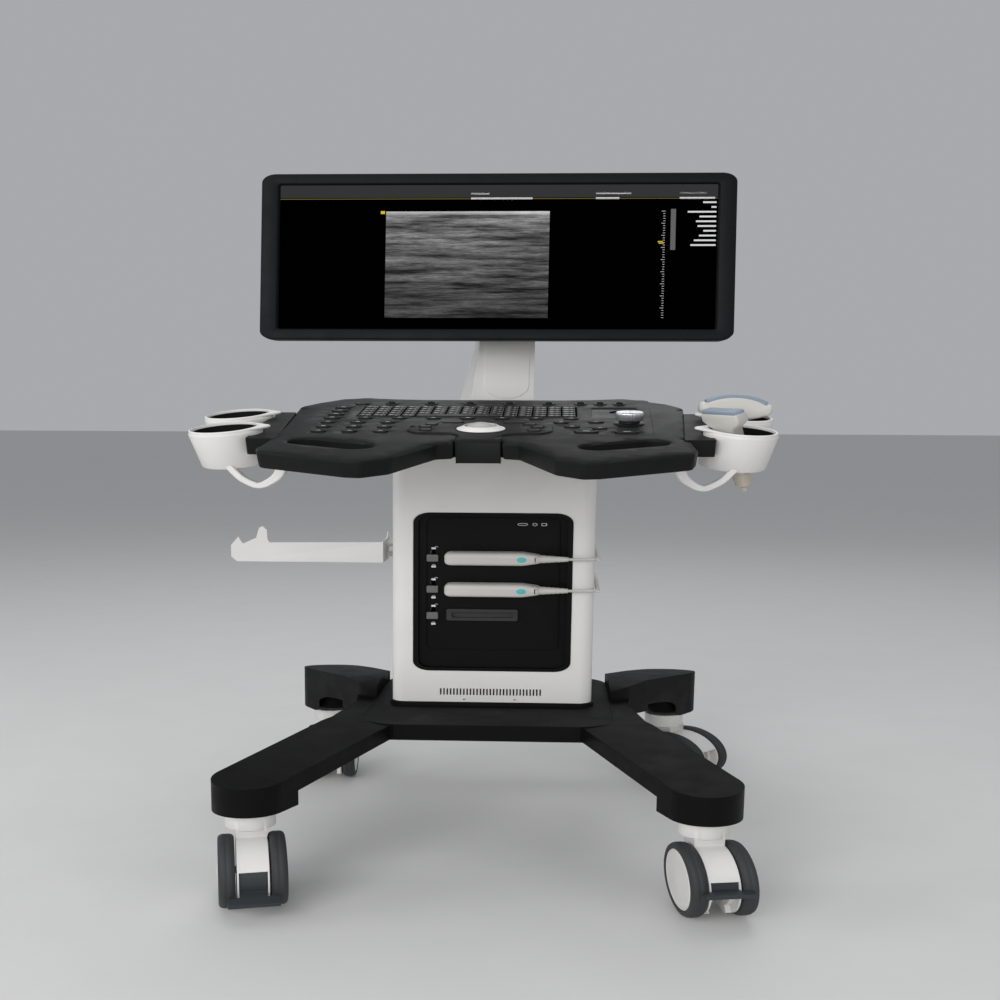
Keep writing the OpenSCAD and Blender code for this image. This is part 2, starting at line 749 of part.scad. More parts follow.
module trackball_keys() {
    color(charcoal) on_deck() {
        at_points(ball_keys) translate([0, 0, -6]) linear_extrude(10) rounded_rect(13, 11, 3);
        at_points(wedge_keys) translate([0, 0, -6]) linear_extrude(10) rounded_rect(24, 9, 3);
    }
}

ball_sink = 10;          // how far the ball's centre lies below the ring's top
module trackball_ring() {
    color(white) on_deck() translate([ball_pos[0], ball_pos[1], -12]) rotate_extrude($fn = 72) difference() {
        polygon([[ball_r - 3, 0], [ball_ring_r, 0], [ball_ring_r, 14], [ball_r + 1, 17], [ball_r - 3, 17]]);
        translate([0, 17 - ball_sink]) circle(ball_r + 0.4, $fn = 96);
    }
}

module trackball() {
    color(white) on_deck() translate([ball_pos[0], ball_pos[1], 5 - ball_sink]) sphere(ball_r, $fn = 72);
}

module gain_knob() {
    color(steel) on_deck() translate([knob_pos[0], knob_pos[1], 0]) {
        translate([0, 0, 0.6]) cylinder(r = 12, h = 8.4);
        translate([0, 0, 9]) cylinder(r = 15.5, h = 14, $fn = 72);
        translate([0, 0, -7]) cylinder(r = 5, h = 9);
    }
}

module display_window() {
    color(black) on_deck() difference() {
        translate([0, 0, -3]) linear_extrude(2) window_outline();
        translate([155, 191, -1.6]) cylinder(r = 14, h = 3);
    }
}

module console_board() {
    color(board_green) on_deck() translate([0, 0, -15]) linear_extrude(1.6) difference() {
        translate([0, 185]) square([360, 150], center = true);
        translate(ball_pos) circle(ball_r + 4);
    }
}

// Children drawn in the leaning frame of a cup on the right side, with z = 0 at the cup's rim
module at_cup(p) { on_deck() translate(p) rotate([0, cup_lean, 0]) children(); }

// Outside of a cup: a cone with a chamfered rim that runs out to a lip on the console side
module cup_body() {
    translate([0, 0, -cup_depth]) cylinder(r1 = cup_foot_r, r2 = cup_r, h = cup_depth - 3);
    translate([0, 0, -3]) cylinder(r1 = cup_r, r2 = cup_r - 2.5, h = 3);
    translate([0, 0, -4]) linear_extrude(4) hull() {
        circle(cup_r - 2.5);
        translate([5 - cup_tip, 0]) circle(5);
    }
}

module cup_cavity() {
    translate([0, 0, 5 - cup_depth]) cylinder(r1 = cup_foot_r - 4, r2 = cup_hole_r, h = cup_depth - 4);
    translate([0, 0, -cup_depth - 1]) cylinder(r = cup_drain_r, h = 20);
}

module cups() {
    color(white) difference() {
        union() {
            for (p = cup_places) at_cup(p) cup_body();
            on_deck() translate([0, 0, -40]) linear_extrude(24) leg_plan(
                [cup_places[0][0], cup_places[0][1]], [cup_places[1][0], cup_places[1][1]], 14, 14);
        }
        for (p = cup_places) at_cup(p) cup_cavity();
    }
    color(white) cable_strap();
}

// Ribbon that hangs in a loop from a cup's foot to the console and widens towards the console
module cable_strap() {
    front_y = -272;
    depth = 14;
    points = [[267, 826], [255, 806], [243, 795], [234, 791.5], [224, 798], [214, 811], [209, 832], [207, 860]];
    width = [for (i = [0:len(points) - 1]) 7 + 0.6 * i];
    intersection() {
        translate([0, front_y + depth, 0]) rotate([90, 0, 0]) linear_extrude(depth)
            for (i = [0:len(points) - 2]) hull() {
                translate(points[i]) circle(d = width[i]);
                translate(points[i + 1]) circle(d = width[i + 1]);
            }
        on_deck() translate([180, -90, -32.1 - 120]) cube([120, 200, 120]);
    }
}

module right_cups() { cups(); }
module left_cups() { mirror([1, 0, 0]) cups(); }

// Blocks that join the cups to the console
module cup_arms() {
    color(black) for (side = [0, 1]) mirror([side, 0, 0]) difference() {
        on_deck() translate([200, -4, -31]) cube([46, 184, 30.5]);
        on_deck() translate([0, 0, -60]) linear_extrude(60 - 0.01) deck_outline(0.55);
        on_deck() translate([0, 0, -6.6]) linear_extrude(20) deck_outline(-0.1);
        for (p = cup_places) at_cup(p) translate([0, 0, -cup_depth])
            cylinder(r1 = cup_foot_r + 0.1, r2 = cup_r + 0.1, h = cup_depth - 3);
    }
}

// ---------- monitor ----------
module swivel_post() {
    color(steel) translate([0, arm_axis_y, column_top_z - 8]) {
        cylinder(r = 26, h = 9.9);
        cylinder(r = 14, h = 60);
    }
}

// Monitor arm: round foot, then a mast that is deep at the bottom and thin behind the monitor
module monitor_arm() {
    foot_z = column_top_z + 2.1;
    half_w = 36;
    color(white) on_arm() {
        difference() {
            union() {
                translate([0, 0, foot_z]) cylinder(r = 42, h = 945 - foot_z);
                intersection() {
                    rotate([90, 0, 90]) translate([0, 0, -60]) linear_extrude(120) polygon([
                        [-arm_front + 14, 930], [82, 930], [76, 955], [-45, 1100], [-45, pivot_z],
                        [-arm_front, pivot_z], [-arm_front, 944]]);
                    rotate([90, 0, 0]) translate([0, 0, -200]) linear_extrude(400) polygon([
                        [-half_w - 14, 900], [half_w, 900], [half_w, 1300], [-half_w, 1300], [-half_w, 1075]]);
                }
                translate([0, -arm_front, 0]) rotate([90, 0, 0]) translate([0, 0, -1]) linear_extrude(2) {
                    translate([0, 1083]) square([2 * half_w - 14, 190], center = true);
                    translate([0, 988]) circle(half_w - 7);
                }
            }
            translate([0, 0, foot_z - 20]) cylinder(r = 14 + run_gap, h = 73);
        }
        translate([0, -pivot_back, pivot_z - 1]) cylinder(r = 9, h = 15);
    }
}

module monitor_yoke() {
    disc_z = pivot_z + 0.5;
    neck_half = 18;
    color(black) {
        difference() {
            union() {
                translate([pivot_x, pivot_y, disc_z]) cylinder(r = 20, h = 20);
                translate([pivot_x - neck_half, tilt_y - 8, disc_z + 1]) cube([2 * neck_half, pivot_y - tilt_y, 34]);
                translate([pivot_x, tilt_y, tilt_z]) x_rod(14, 2 * neck_half - 1);
            }
            translate([pivot_x, pivot_y, disc_z - 1]) cylinder(r = 9 + run_gap, h = 15);
        }
        translate([pivot_x, tilt_y, tilt_z]) x_rod(tilt_pin_r, 64);
    }
}

module monitor_bezel() {
    border = 22.5;
    color(black) on_monitor() rotate([90, 0, 0]) translate([0, 0, -14]) difference() {
        linear_extrude(14) rounded_rect(monitor_w, monitor_h, 18);
        translate([0, 0, -1]) linear_extrude(20) rounded_rect(monitor_w - 2 * border, monitor_h - 2 * border, 2);
        translate([0, 0, -1]) linear_extrude(10) rounded_rect(monitor_w - 2 * shell_t, monitor_h - 2 * shell_t, 15);
    }
}

module lcd_panel() {
    color([0.05, 0.06, 0.07]) on_monitor() rotate([90, 0, 0]) translate([0, 0, -11])
        linear_extrude(5.9) rounded_rect(monitor_w - 24, monitor_h - 24, 2);
}

// Rear shell with a raised middle and the two lugs of the tilt hinge
module monitor_shell() {
    lug_w = 8;
    lug_x = 18.5 + lug_w / 2;
    color(black) difference() {
        union() {
            on_monitor() {
                translate([0, 14.05, 0]) rotate([-90, 0, 0]) linear_extrude(12) rounded_rect(monitor_w - 2, monitor_h - 2, 18);
                translate([0, 26, -6]) rotate([-90, 0, 0]) linear_extrude(8) rounded_rect(monitor_w - 120, monitor_h - 90, 24);
                translate([0, 33, -6]) rotate([-90, 0, 0]) linear_extrude(9) rounded_rect(200, 160, 16);
            }
            for (side = [-1, 1]) {
                translate([pivot_x + side * lug_x, tilt_y, tilt_z]) x_rod(13, lug_w);
                translate([pivot_x + side * lug_x - lug_w / 2, 4, tilt_z - 13]) cube([lug_w, tilt_y - 4, 26]);
            }
        }
        on_monitor() rotate([-90, 0, 0]) {
            translate([0, 0, 14]) linear_extrude(9) rounded_rect(monitor_w - 8, monitor_h - 8, 14);
            translate([0, 6, 20]) linear_extrude(11) rounded_rect(monitor_w - 128, monitor_h - 98, 20);
        }
        translate([pivot_x, tilt_y, tilt_z]) x_rod(tilt_pin_r + run_gap, 90);
    }
}

// ---------- probes ----------
// Children drawn in the frame of a cup on the right side, with z = 0 at the cup's rim
module in_cup(i) { on_deck() translate(cup_places[i]) rotate([-deck_tilt, 0, 0]) children(); }

// Convex probe: a wide head with a curved face on a flat handle, standing in the rear cup
module convex_probe() {
    face_r = 56;
    color(plug_grey) in_cup(1) translate([-5.7, 0, 0]) rotate([0, 4, 0]) {
        rotate([90, 0, 0]) translate([0, 0, -11]) linear_extrude(22) intersection() {
            translate([0, 44 - face_r]) circle(face_r);
            polygon([[-14, -31], [14, -31], [16, -3], [26, 4], [36, 11], [41, 18], [41, 50],
                [-41, 50], [-41, 18], [-36, 11], [-26, 4], [-16, -3]]);
        }
        translate([0, 0, -52]) cylinder(r1 = 6, r2 = 11, h = 30);
    }
}

// Linear probe: a narrow head with a straight face, leaning out of the front cup
module linear_probe() {
    color(plug_grey) translate(linear_tail) rotate([18, -13, 0]) rotate([0, 0, -48]) {
        rotate([90, 0, 0]) translate([0, 0, -10]) linear_extrude(20)
            polygon([[-8, 26], [8, 26], [12, 60], [14, 114], [24, 127], [24, 148],
                [-24, 148], [-24, 127], [-14, 114], [-12, 60]]);
        cylinder(r1 = 5.5, r2 = 8, h = 40);
    }
}

// Round stretch of cable between two points
module cable_run(from, to, r = 3.2) {
    hull() {
        translate(from) sphere(r, $fn = 12);
        translate(to) sphere(r, $fn = 12);
    }
}

module probe_cables() {
    side_x = column_w / 2 + 4;
    plug_face = panel_floor_y - 5.5 - 13;
    back_y = column_back_y + 8;
    color(plug_grey) for (i = [0, 1]) {
        z = socket_z[i];
        up_x = 96 - 14 * i;
        points = [
            [103.5, plug_face, z], [side_x - 4, plug_face + 4, z], [side_x, plug_face + 16, z],
            [side_x, back_y - 8, z], [side_x - 8, back_y, z], [up_x + 6, back_y, z + 2], [up_x, back_y, z + 12],
            [up_x, back_y, 818], [up_x + 8, back_y, 836], [side_x + 6, back_y - 4, 841], [side_x + 30, back_y - 60, 842]];
        ends = i == 0
            ? [[225, -110, 847], [262, -126, 846], [275, -138, 848], [275.7, -147, 856], [275.7, -148, 861]]
            : [[225, -184, 848], [264, -186, 848], [282, -188, 841], [286, -194, 818], [286, -204, 792],
               [286, -214, 784], [284, -222, 788]];
        route = concat(points, ends);
        for (k = [0:len(route) - 2]) cable_run(route[k], route[k + 1]);
    }
}

translate([0, 0, -floor_z]) {
    base_frame();
    hub_cover();
    leg_covers();
    column_frame();
    column_cover();
    rear_cover();
    connector_panel();
    probe_sockets();
    main_board();
    power_supply();
    fan_frame();
    fan_rotor();
    power_inlet();
    side_bracket();
    screws();
    console_tray();
    console_deck();
    centre_trim();
    keyboard_plate();
    trackball_ring();
    display_window();
    console_board();
    left_cups();
    right_cups();
    cup_arms();
    swivel_post();
    probe_cables();
    monitor_arm();
    monitor_yoke();
    monitor_bezel();
    monitor_shell();
    lcd_panel();
    keyboard_keys();
    soft_keys();
    function_buttons();
    trackball_keys();
    power_button();
    trackball();
    gain_knob();
    lock_lever_a();
    lock_lever_b();
    lock_lever_c();
    plug_a();
    plug_b();
    convex_probe();
    linear_probe();
    front_left_fork();
    front_left_hubs();
    front_left_tyres();
    front_left_pedal();
    front_right_fork();
    front_right_hubs();
    front_right_tyres();
    front_right_pedal();
    rear_left_fork();
    rear_left_hubs();
    rear_left_tyres();
    rear_right_fork();
    rear_right_hubs();
    rear_right_tyres();
}
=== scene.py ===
"""Looks of the ultrasound trolley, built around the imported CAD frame. Lengths are in mm until placed."""
import json
import math

import bmesh
import bpy
import numpy as np
from mathutils import Matrix, Vector, geometry

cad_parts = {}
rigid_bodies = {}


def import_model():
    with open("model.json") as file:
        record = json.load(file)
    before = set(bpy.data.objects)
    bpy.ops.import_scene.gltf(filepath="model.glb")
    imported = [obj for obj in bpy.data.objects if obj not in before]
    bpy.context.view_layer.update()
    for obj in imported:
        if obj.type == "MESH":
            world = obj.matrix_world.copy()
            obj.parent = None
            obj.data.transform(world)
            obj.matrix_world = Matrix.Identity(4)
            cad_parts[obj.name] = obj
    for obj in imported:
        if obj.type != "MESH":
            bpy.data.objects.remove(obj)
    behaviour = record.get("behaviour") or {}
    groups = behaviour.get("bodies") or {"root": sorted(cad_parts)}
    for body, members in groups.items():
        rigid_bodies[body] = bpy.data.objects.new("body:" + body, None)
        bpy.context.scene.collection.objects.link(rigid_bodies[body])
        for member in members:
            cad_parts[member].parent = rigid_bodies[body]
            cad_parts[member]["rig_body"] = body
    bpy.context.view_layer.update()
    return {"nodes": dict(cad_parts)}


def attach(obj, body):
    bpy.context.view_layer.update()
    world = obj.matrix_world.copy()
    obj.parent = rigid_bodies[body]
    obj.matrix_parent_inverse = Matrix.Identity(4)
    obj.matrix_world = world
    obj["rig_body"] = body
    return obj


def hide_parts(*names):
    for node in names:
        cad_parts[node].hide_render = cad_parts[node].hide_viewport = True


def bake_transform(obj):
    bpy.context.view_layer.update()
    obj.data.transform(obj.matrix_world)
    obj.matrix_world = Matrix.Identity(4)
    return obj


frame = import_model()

MM = 0.001
FLOOR_Z = 20                 # heights are drawn from a level this far below the floor
PARTS = frame["nodes"]
DECK_TILT = math.radians(15)
MONITOR_TILT = math.radians(5)
COLUMN_BACK_Y = 225
PANEL_FLOOR_Y = 43


# ---------- placing ----------
def move(x, y, z):
    return Matrix.Translation((x, y, z))


def turn(degrees, axis):
    return Matrix.Rotation(math.radians(degrees), 4, axis)


TO_METRES = Matrix.Scale(MM, 4) @ move(0, 0, -FLOOR_Z)
DECK = TO_METRES @ move(0, -285, 879) @ Matrix.Rotation(DECK_TILT, 4, "X")
UPRIGHT = turn(90, "X")                      # x across, y up, z towards the operator
MONITOR = TO_METRES @ move(3, -33, 1243) @ Matrix.Rotation(-MONITOR_TILT, 4, "X") @ UPRIGHT


def on_column(y):
    return TO_METRES @ move(0, y, 0) @ UPRIGHT


# ---------- flat outlines ----------
def arc(cx, cy, r, start, end, steps):
    angles = [math.radians(start + (end - start) * i / steps) for i in range(steps + 1)]
    return [(cx + r * math.cos(a), cy + r * math.sin(a)) for a in angles]


def pill(w, h, steps=10):
    x = (w - h) / 2
    return arc(x, 0, h / 2, -90, 90, steps) + arc(-x, 0, h / 2, 90, 270, steps)


def rounded_rect(w, h, r, steps=6):
    x, y = w / 2 - r, h / 2 - r
    return (arc(x, -y, r, -90, 0, steps) + arc(x, y, r, 0, 90, steps)
            + arc(-x, y, r, 90, 180, steps) + arc(-x, -y, r, 180, 270, steps))


def circle(r, steps=48):
    return arc(0, 0, r, 0, 360, steps)[:-1]


def shifted(outline, x, y):
    return [(px + x, py + y) for px, py in outline]


def angles(steps):
    """Equal steps round a full turn, in radians."""
    return [2 * math.pi * i / steps for i in range(steps)]


def mirrored(outline):
    return [(-x, y) for x, y in reversed(outline)]


def fillet(corners, radii, steps=8):
    """Closed polygon with each corner rounded by its own radius."""
    points = []
    for i, corner in enumerate(corners):
        here = Vector(corner)
        back = (Vector(corners[i - 1]) - here).normalized()
        on = (Vector(corners[(i + 1) % len(corners)]) - here).normalized()
        half = back.angle(on) / 2
        reach = radii[i] / math.tan(half)
        middle = here + (back + on).normalized() * radii[i] / math.sin(half)
        a = here + back * reach - middle
        b = here + on * reach - middle
        sweep = a.angle_signed(b)
        first = math.atan2(a.y, a.x)
        points += [(middle.x + radii[i] * math.cos(first - sweep * k / steps),
                    middle.y + radii[i] * math.sin(first - sweep * k / steps)) for k in range(steps + 1)]
    return points


def inset(outline, distance):
    """A counter-clockwise outline moved inwards; positive shrinks it."""
    result = []
    for i, point in enumerate(outline):
        before = Vector(point) - Vector(outline[i - 1])
        after = Vector(outline[(i + 1) % len(outline)]) - Vector(point)
        before = before.normalized() if before.length > 1e-6 else after.normalized()
        after = after.normalized() if after.length > 1e-6 else before
        normal = Vector((-before.y - after.y, before.x + after.x)).normalized()
        stretch = max(0.5, normal.dot(Vector((-after.y, after.x))))
        result.append((point[0] + normal.x * distance / stretch, point[1] + normal.y * distance / stretch))
    return result


def distance_to(outline, points):
    """Distance from each point to the nearest edge of the outline."""
    a = np.array(outline)
    run = np.roll(a, -1, axis=0) - a
    squared = np.maximum((run ** 2).sum(1), 1e-9)
    offset = np.array(points)[:, None, :] - a[None]
    t = np.clip((offset * run[None]).sum(2) / squared[None], 0, 1)
    return np.sqrt(((offset - t[..., None] * run[None]) ** 2).sum(2)).min(1)


def inside(outline, points):
    """Which points lie inside the outline."""
    a = np.array(outline)
    b = np.roll(a, -1, axis=0)
    p = np.array(points)
    x, y = p[:, 0:1], p[:, 1:2]
    crosses = (a[None, :, 1] > y) != (b[None, :, 1] > y)
    rise = np.where(np.abs(b[:, 1] - a[:, 1]) < 1e-12, 1e-12, b[:, 1] - a[:, 1])
    at = a[None, :, 0] + (y - a[None, :, 1]) * ((b[:, 0] - a[:, 0]) / rise)[None]
    return (crosses & (x < at)).sum(1) % 2 == 1


# ---------- meshes ----------
def loft(bm, rings, cap_first=True, cap_last=True, closed=True):
    """Quads between rings of equally many points."""
    loops = [[bm.verts.new(p) for p in ring] for ring in rings]
    n = len(loops[0])
    for low, high in zip(loops, loops[1:]):
        for i in range(n if closed else n - 1):
            j = (i + 1) % n
            bm.faces.new((low[i], low[j], high[j], high[i]))
    if cap_first:
        bm.faces.new(list(reversed(loops[0])))
    if cap_last:
        bm.faces.new(loops[-1])


def level(outline, z):
    """The outline as a ring at one height."""
    return [(x, y, z) for x, y in outline]


def draped(outline, heights):
    """The outline as a ring whose points each have their own height."""
    return [(x, y, z) for (x, y), z in zip(outline, heights)]


def levels_of(outline, levels):
    """One ring for each (inset, height) pair."""
    return [level(inset(outline, d), z) for d, z in levels]


def stack(bm, outline, levels):
    """Solid over an outline; levels are (inset, height) pairs from the bottom up."""
    loft(bm, levels_of(outline, levels))


def across(bm, shape, levels):
    """Solid whose side view is the shape; levels are (inset, x) pairs from left to right."""
    loft(bm, [[(x, y, z) for y, z in inset(shape, d)] for d, x in levels])


def wall(bm, rings):
    """Surface through rings, open at both ends."""
    loft(bm, rings, cap_first=False, cap_last=False)


def crowned(height, r, bottom=0.0, crown=0.0, steps=4):
    """Levels of a slab with a rounded top edge and an optional raised middle."""
    rounding = [(r - r * math.cos(a), height - r + r * math.sin(a))
                for a in [math.pi / 2 * i / steps for i in range(1, steps + 1)]]
    levels = [(0, bottom), (0, height - r)] + rounding
    if crown:
        levels += [(r * 1.6, height + crown * 0.6), (r * 2.4, height + crown)]
    return levels


def lathe(bm, profile, steps=64, place=Matrix.Identity(4)):
    """Turns (radius, height) points round the Z axis. A radius of zero closes the end."""
    rings = []
    for r, z in profile:
        if r < 1e-6:
            rings.append([bm.verts.new(place @ Vector((0, 0, z)))])
        else:
            rings.append([bm.verts.new(place @ Vector((r * math.cos(a), r * math.sin(a), z)))
                          for a in angles(steps)])
    for low, high in zip(rings, rings[1:]):
        for i in range(steps):
            j = (i + 1) % steps
            corners = [low[i % len(low)], low[j % len(low)], high[j % len(high)], high[i % len(high)]]
            bm.faces.new(list(dict.fromkeys(corners)))


def sheet(bm, outline, holes, height, rows=(), grid=0.0):
    """Triangulated surface inside an outline with holes; height gives z at an array of points."""
    points = list(outline)
    edges = [(i, (i + 1) % len(outline)) for i in range(len(outline))]
    for hole in holes:
        first = len(points)
        points += list(hole)
        edges += [(first + i, first + (i + 1) % len(hole)) for i in range(len(hole))]
    extra = []
    for border, direction, distances in rows:
        for d in distances:
            extra += [p for p in inset(border, direction * d)]
    if grid:
        low, high = np.array(outline).min(0), np.array(outline).max(0)
        columns, rows_of_grid = np.arange(low[0], high[0], grid), np.arange(low[1], high[1], grid)
        extra += [(x, y) for x in columns for y in rows_of_grid]
    if extra:
        keep = inside(outline, extra) & (distance_to(outline, extra) > 0.45)
        for hole in holes:
            keep &= ~inside(hole, extra) & (distance_to(hole, extra) > 0.3)
        points += [p for p, good in zip(extra, keep) if good]
    flat = geometry.delaunay_2d_cdt([Vector(p) for p in points], edges, [], 0, 1e-4)
    place = np.array([(v.x, v.y) for v in flat[0]])
    z = height(place)
    verts = [bm.verts.new((x, y, h)) for (x, y), h in zip(place, z)]
    middles = np.array([place[list(face)].mean(0) for face in flat[2]])
    good = inside(outline, middles)
    for hole in holes:
        good &= ~inside(hole, middles)
    for face, keep_it in zip(flat[2], good):
        if keep_it:
            bm.faces.new([verts[i] for i in face])
    for v in [v for v in verts if not v.link_faces]:
        bm.verts.remove(v)


def smooth_path(points, steps=8):
    """Catmull-Rom curve through points."""
    p = [np.array(q, float) for q in points]
    p = [2 * p[0] - p[1]] + p + [2 * p[-1] - p[-2]]
    path = []
    for i in range(1, len(p) - 2):
        for k in range(steps):
            t = k / steps
            path.append(0.5 * (2 * p[i] + (p[i + 1] - p[i - 1]) * t
                        + (2 * p[i - 1] - 5 * p[i] + 4 * p[i + 1] - p[i + 2]) * t * t
                        + (3 * p[i] - p[i - 1] - 3 * p[i + 1] + p[i + 2]) * t ** 3))
    return [Vector(q) for q in path + [p[-2]]]


def sweep(bm, path, radius, steps=14):
    """Round tube along a path."""
    up = Vector((0.1, 0.2, 1)).normalized()
    rings = []
    for i, here in enumerate(path):
        along = (path[min(i + 1, len(path) - 1)] - path[max(i - 1, 0)]).normalized()
        side = along.cross(up).normalized()
        up = side.cross(along).normalized()
        rings.append([here + (side * math.cos(a) + up * math.sin(a)) * radius for a in angles(steps)])
    loft(bm, rings)


def set_smooth(mesh, angle=40):
    mesh.polygons.foreach_set("use_smooth", [True] * len(mesh.polygons))
    mesh.set_sharp_from_angle(angle=math.radians(angle))


def piece(name, bm, material, body, place=Matrix.Identity(4), nodes=(), angle=40):
    """Turns a bmesh into a finished piece that rides on a CAD body and stands for CAD nodes."""
    bmesh.ops.remove_doubles(bm, verts=bm.verts, dist=1e-3 if place != Matrix.Identity(4) else 1e-6)
    bmesh.ops.transform(bm, matrix=place, verts=bm.verts)
    bmesh.ops.recalc_face_normals(bm, faces=bm.faces)
    mesh = bpy.data.meshes.new(name)
    bm.to_mesh(mesh)
    bm.free()
    set_smooth(mesh, angle)
    for m in material if isinstance(material, (list, tuple)) else [material]:
        mesh.materials.append(m)
    obj = bpy.data.objects.new(name, mesh)
    bpy.context.scene.collection.objects.link(obj)
    if body:
        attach(obj, body)
    if nodes:
        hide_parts(*nodes)
    return obj


def refined(node, material, width=0.8, segments=3, name=None):
    """A copy of a CAD node's shape with its crisp edges rounded."""
    bm = bmesh.new()
    bm.from_mesh(PARTS[node].data)
    bmesh.ops.remove_doubles(bm, verts=bm.verts, dist=2e-6)
    bmesh.ops.dissolve_limit(bm, angle_limit=math.radians(0.4), verts=bm.verts, edges=bm.edges)
    for face in bm.faces:
        face.material_index = 0
    obj = piece(name or node + "_body", bm, material, PARTS[node]["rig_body"], nodes=[node], angle=50)
    bevel = obj.modifiers.new("edges", "BEVEL")
    bevel.width = width * MM
    bevel.segments = segments
    bevel.limit_method = "ANGLE"
    bevel.angle_limit = math.radians(35)
    bevel.use_clamp_overlap = True
    bevel.harden_normals = True
    return obj


def paint(node, material):
    """Gives a CAD node that keeps its own shape a new material."""
    mesh = PARTS[node].data
    mesh.materials.clear()
    mesh.materials.append(material)
    return PARTS[node]


# ---------- materials ----------
class Shader:
    """Adds nodes to a new material and links them."""

    def __init__(self, name):
        self.material = bpy.data.materials.new(name)
        self.material.use_nodes = True
        self.tree = self.material.node_tree
        self.tree.nodes.clear()
        self.output = self.add("ShaderNodeOutputMaterial")
        self.place = self.add("ShaderNodeTexCoord").outputs["Object"]

    def add(self, kind, **settings):
        node = self.tree.nodes.new(kind)
        for key, value in settings.items():
            setattr(node, key, value)
        return node

    def join(self, source, socket):
        if isinstance(source, bpy.types.NodeSocket):
            self.tree.links.new(source, socket)
        else:
            socket.default_value = source

    def sum(self, operation, a, b, clamp=False):
        node = self.add("ShaderNodeMath", operation=operation, use_clamp=clamp)
        self.join(a, node.inputs[0])
        self.join(b, node.inputs[1])
        return node.outputs[0]

    def noise(self, scale, detail=2.0, roughness=0.5, vector=None):
        node = self.add("ShaderNodeTexNoise")
        self.join(vector or self.place, node.inputs["Vector"])
        node.inputs["Scale"].default_value = scale
        node.inputs["Detail"].default_value = detail
        node.inputs["Roughness"].default_value = roughness
        return node.outputs["Fac"]

    def ramp(self, source, low, high, to_low=0.0, to_high=1.0):
        node = self.add("ShaderNodeMapRange")
        self.join(source, node.inputs["Value"])
        for key, value in (("From Min", low), ("From Max", high), ("To Min", to_low), ("To Max", to_high)):
            node.inputs[key].default_value = value
        return node.outputs[0]

    def mix(self, factor, a, b):
        node = self.add("ShaderNodeMix", data_type="RGBA")
        self.join(factor, node.inputs["Factor"])
        self.join(a, node.inputs[6])
        self.join(b, node.inputs[7])
        return node.outputs[2]

    def stretched(self, x, y, z):
        node = self.add("ShaderNodeVectorMath", operation="MULTIPLY")
        self.join(self.place, node.inputs[0])
        node.inputs[1].default_value = (x, y, z)
        return node.outputs[0]

    def edge_mask(self, radius):
        """Bright where the surface bends sharply, for worn edges."""
        rounded = self.add("ShaderNodeBevel", samples=4)
        rounded.inputs["Radius"].default_value = radius
        plain = self.add("ShaderNodeNewGeometry")
        dot = self.add("ShaderNodeVectorMath", operation="DOT_PRODUCT")
        self.join(rounded.outputs[0], dot.inputs[0])
        self.join(plain.outputs["Normal"], dot.inputs[1])
        return rounded.outputs[0], self.ramp(dot.outputs["Value"], 0.99, 0.86)


def rgb(level, tint=(1, 1, 1)):
    return (level * tint[0], level * tint[1], level * tint[2], 1)


def surface(name, colour, roughness, grain=(900, 0.25), worn=None, wear=0.5, mottle=0.10,
            metallic=0.0, coat=0.0, stretch=None, radius=0.0012, specular=0.5):
    """Moulded, painted or metal surface: grain, blotches, smudges in the gloss and worn edges."""
    s = Shader(name)
    body = s.add("ShaderNodeBsdfPrincipled")
    rounded, edges = s.edge_mask(radius)
    blotch = s.ramp(s.noise(9, 3), 0.35, 0.65, 1 - mottle, 1 + mottle)
    shade = s.add("ShaderNodeMix", data_type="RGBA", blend_type="MULTIPLY")
    shade.inputs["Factor"].default_value = 1.0
    s.join(colour, shade.inputs[6])
    s.join(blotch, shade.inputs[7])
    chipped = s.sum("MULTIPLY", s.sum("MULTIPLY", edges, s.ramp(s.noise(160, 4), 0.42, 0.68)), wear)
    s.join(s.mix(chipped, shade.outputs[2], worn or colour), body.inputs["Base Color"])
    smudge = s.ramp(s.noise(26, 4, 0.6), 0.3, 0.7, roughness - 0.06, roughness + 0.07)
    s.join(s.sum("ADD", smudge, s.sum("MULTIPLY", chipped, 0.15), clamp=True), body.inputs["Roughness"])
    body.inputs["Metallic"].default_value = metallic
    body.inputs["Coat Weight"].default_value = coat
    body.inputs["Specular IOR Level"].default_value = specular
    vector = s.stretched(*stretch) if stretch else None
    bump = s.add("ShaderNodeBump")
    bump.inputs["Strength"].default_value = grain[1]
    bump.inputs["Distance"].default_value = 0.0002
    s.join(s.noise(grain[0], 2.5, 0.6, vector), bump.inputs["Height"])
    s.join(rounded, bump.inputs["Normal"])
    s.join(bump.outputs[0], body.inputs["Normal"])
    s.join(body.outputs[0], s.output.inputs[0])
    return s.material


def light(name, colour, strength=1.0):
    """Lit area of the display, with a faint pixel grid."""
    s = Shader(name)
    glow = s.add("ShaderNodeEmission")
    grid = s.ramp(s.noise(2600, 0), 0.3, 0.7, 0.94 * strength, 1.04 * strength)
    glow.inputs["Color"].default_value = colour
    s.join(grid, glow.inputs["Strength"])
    s.join(glow.outputs[0], s.output.inputs[0])
    return s.material


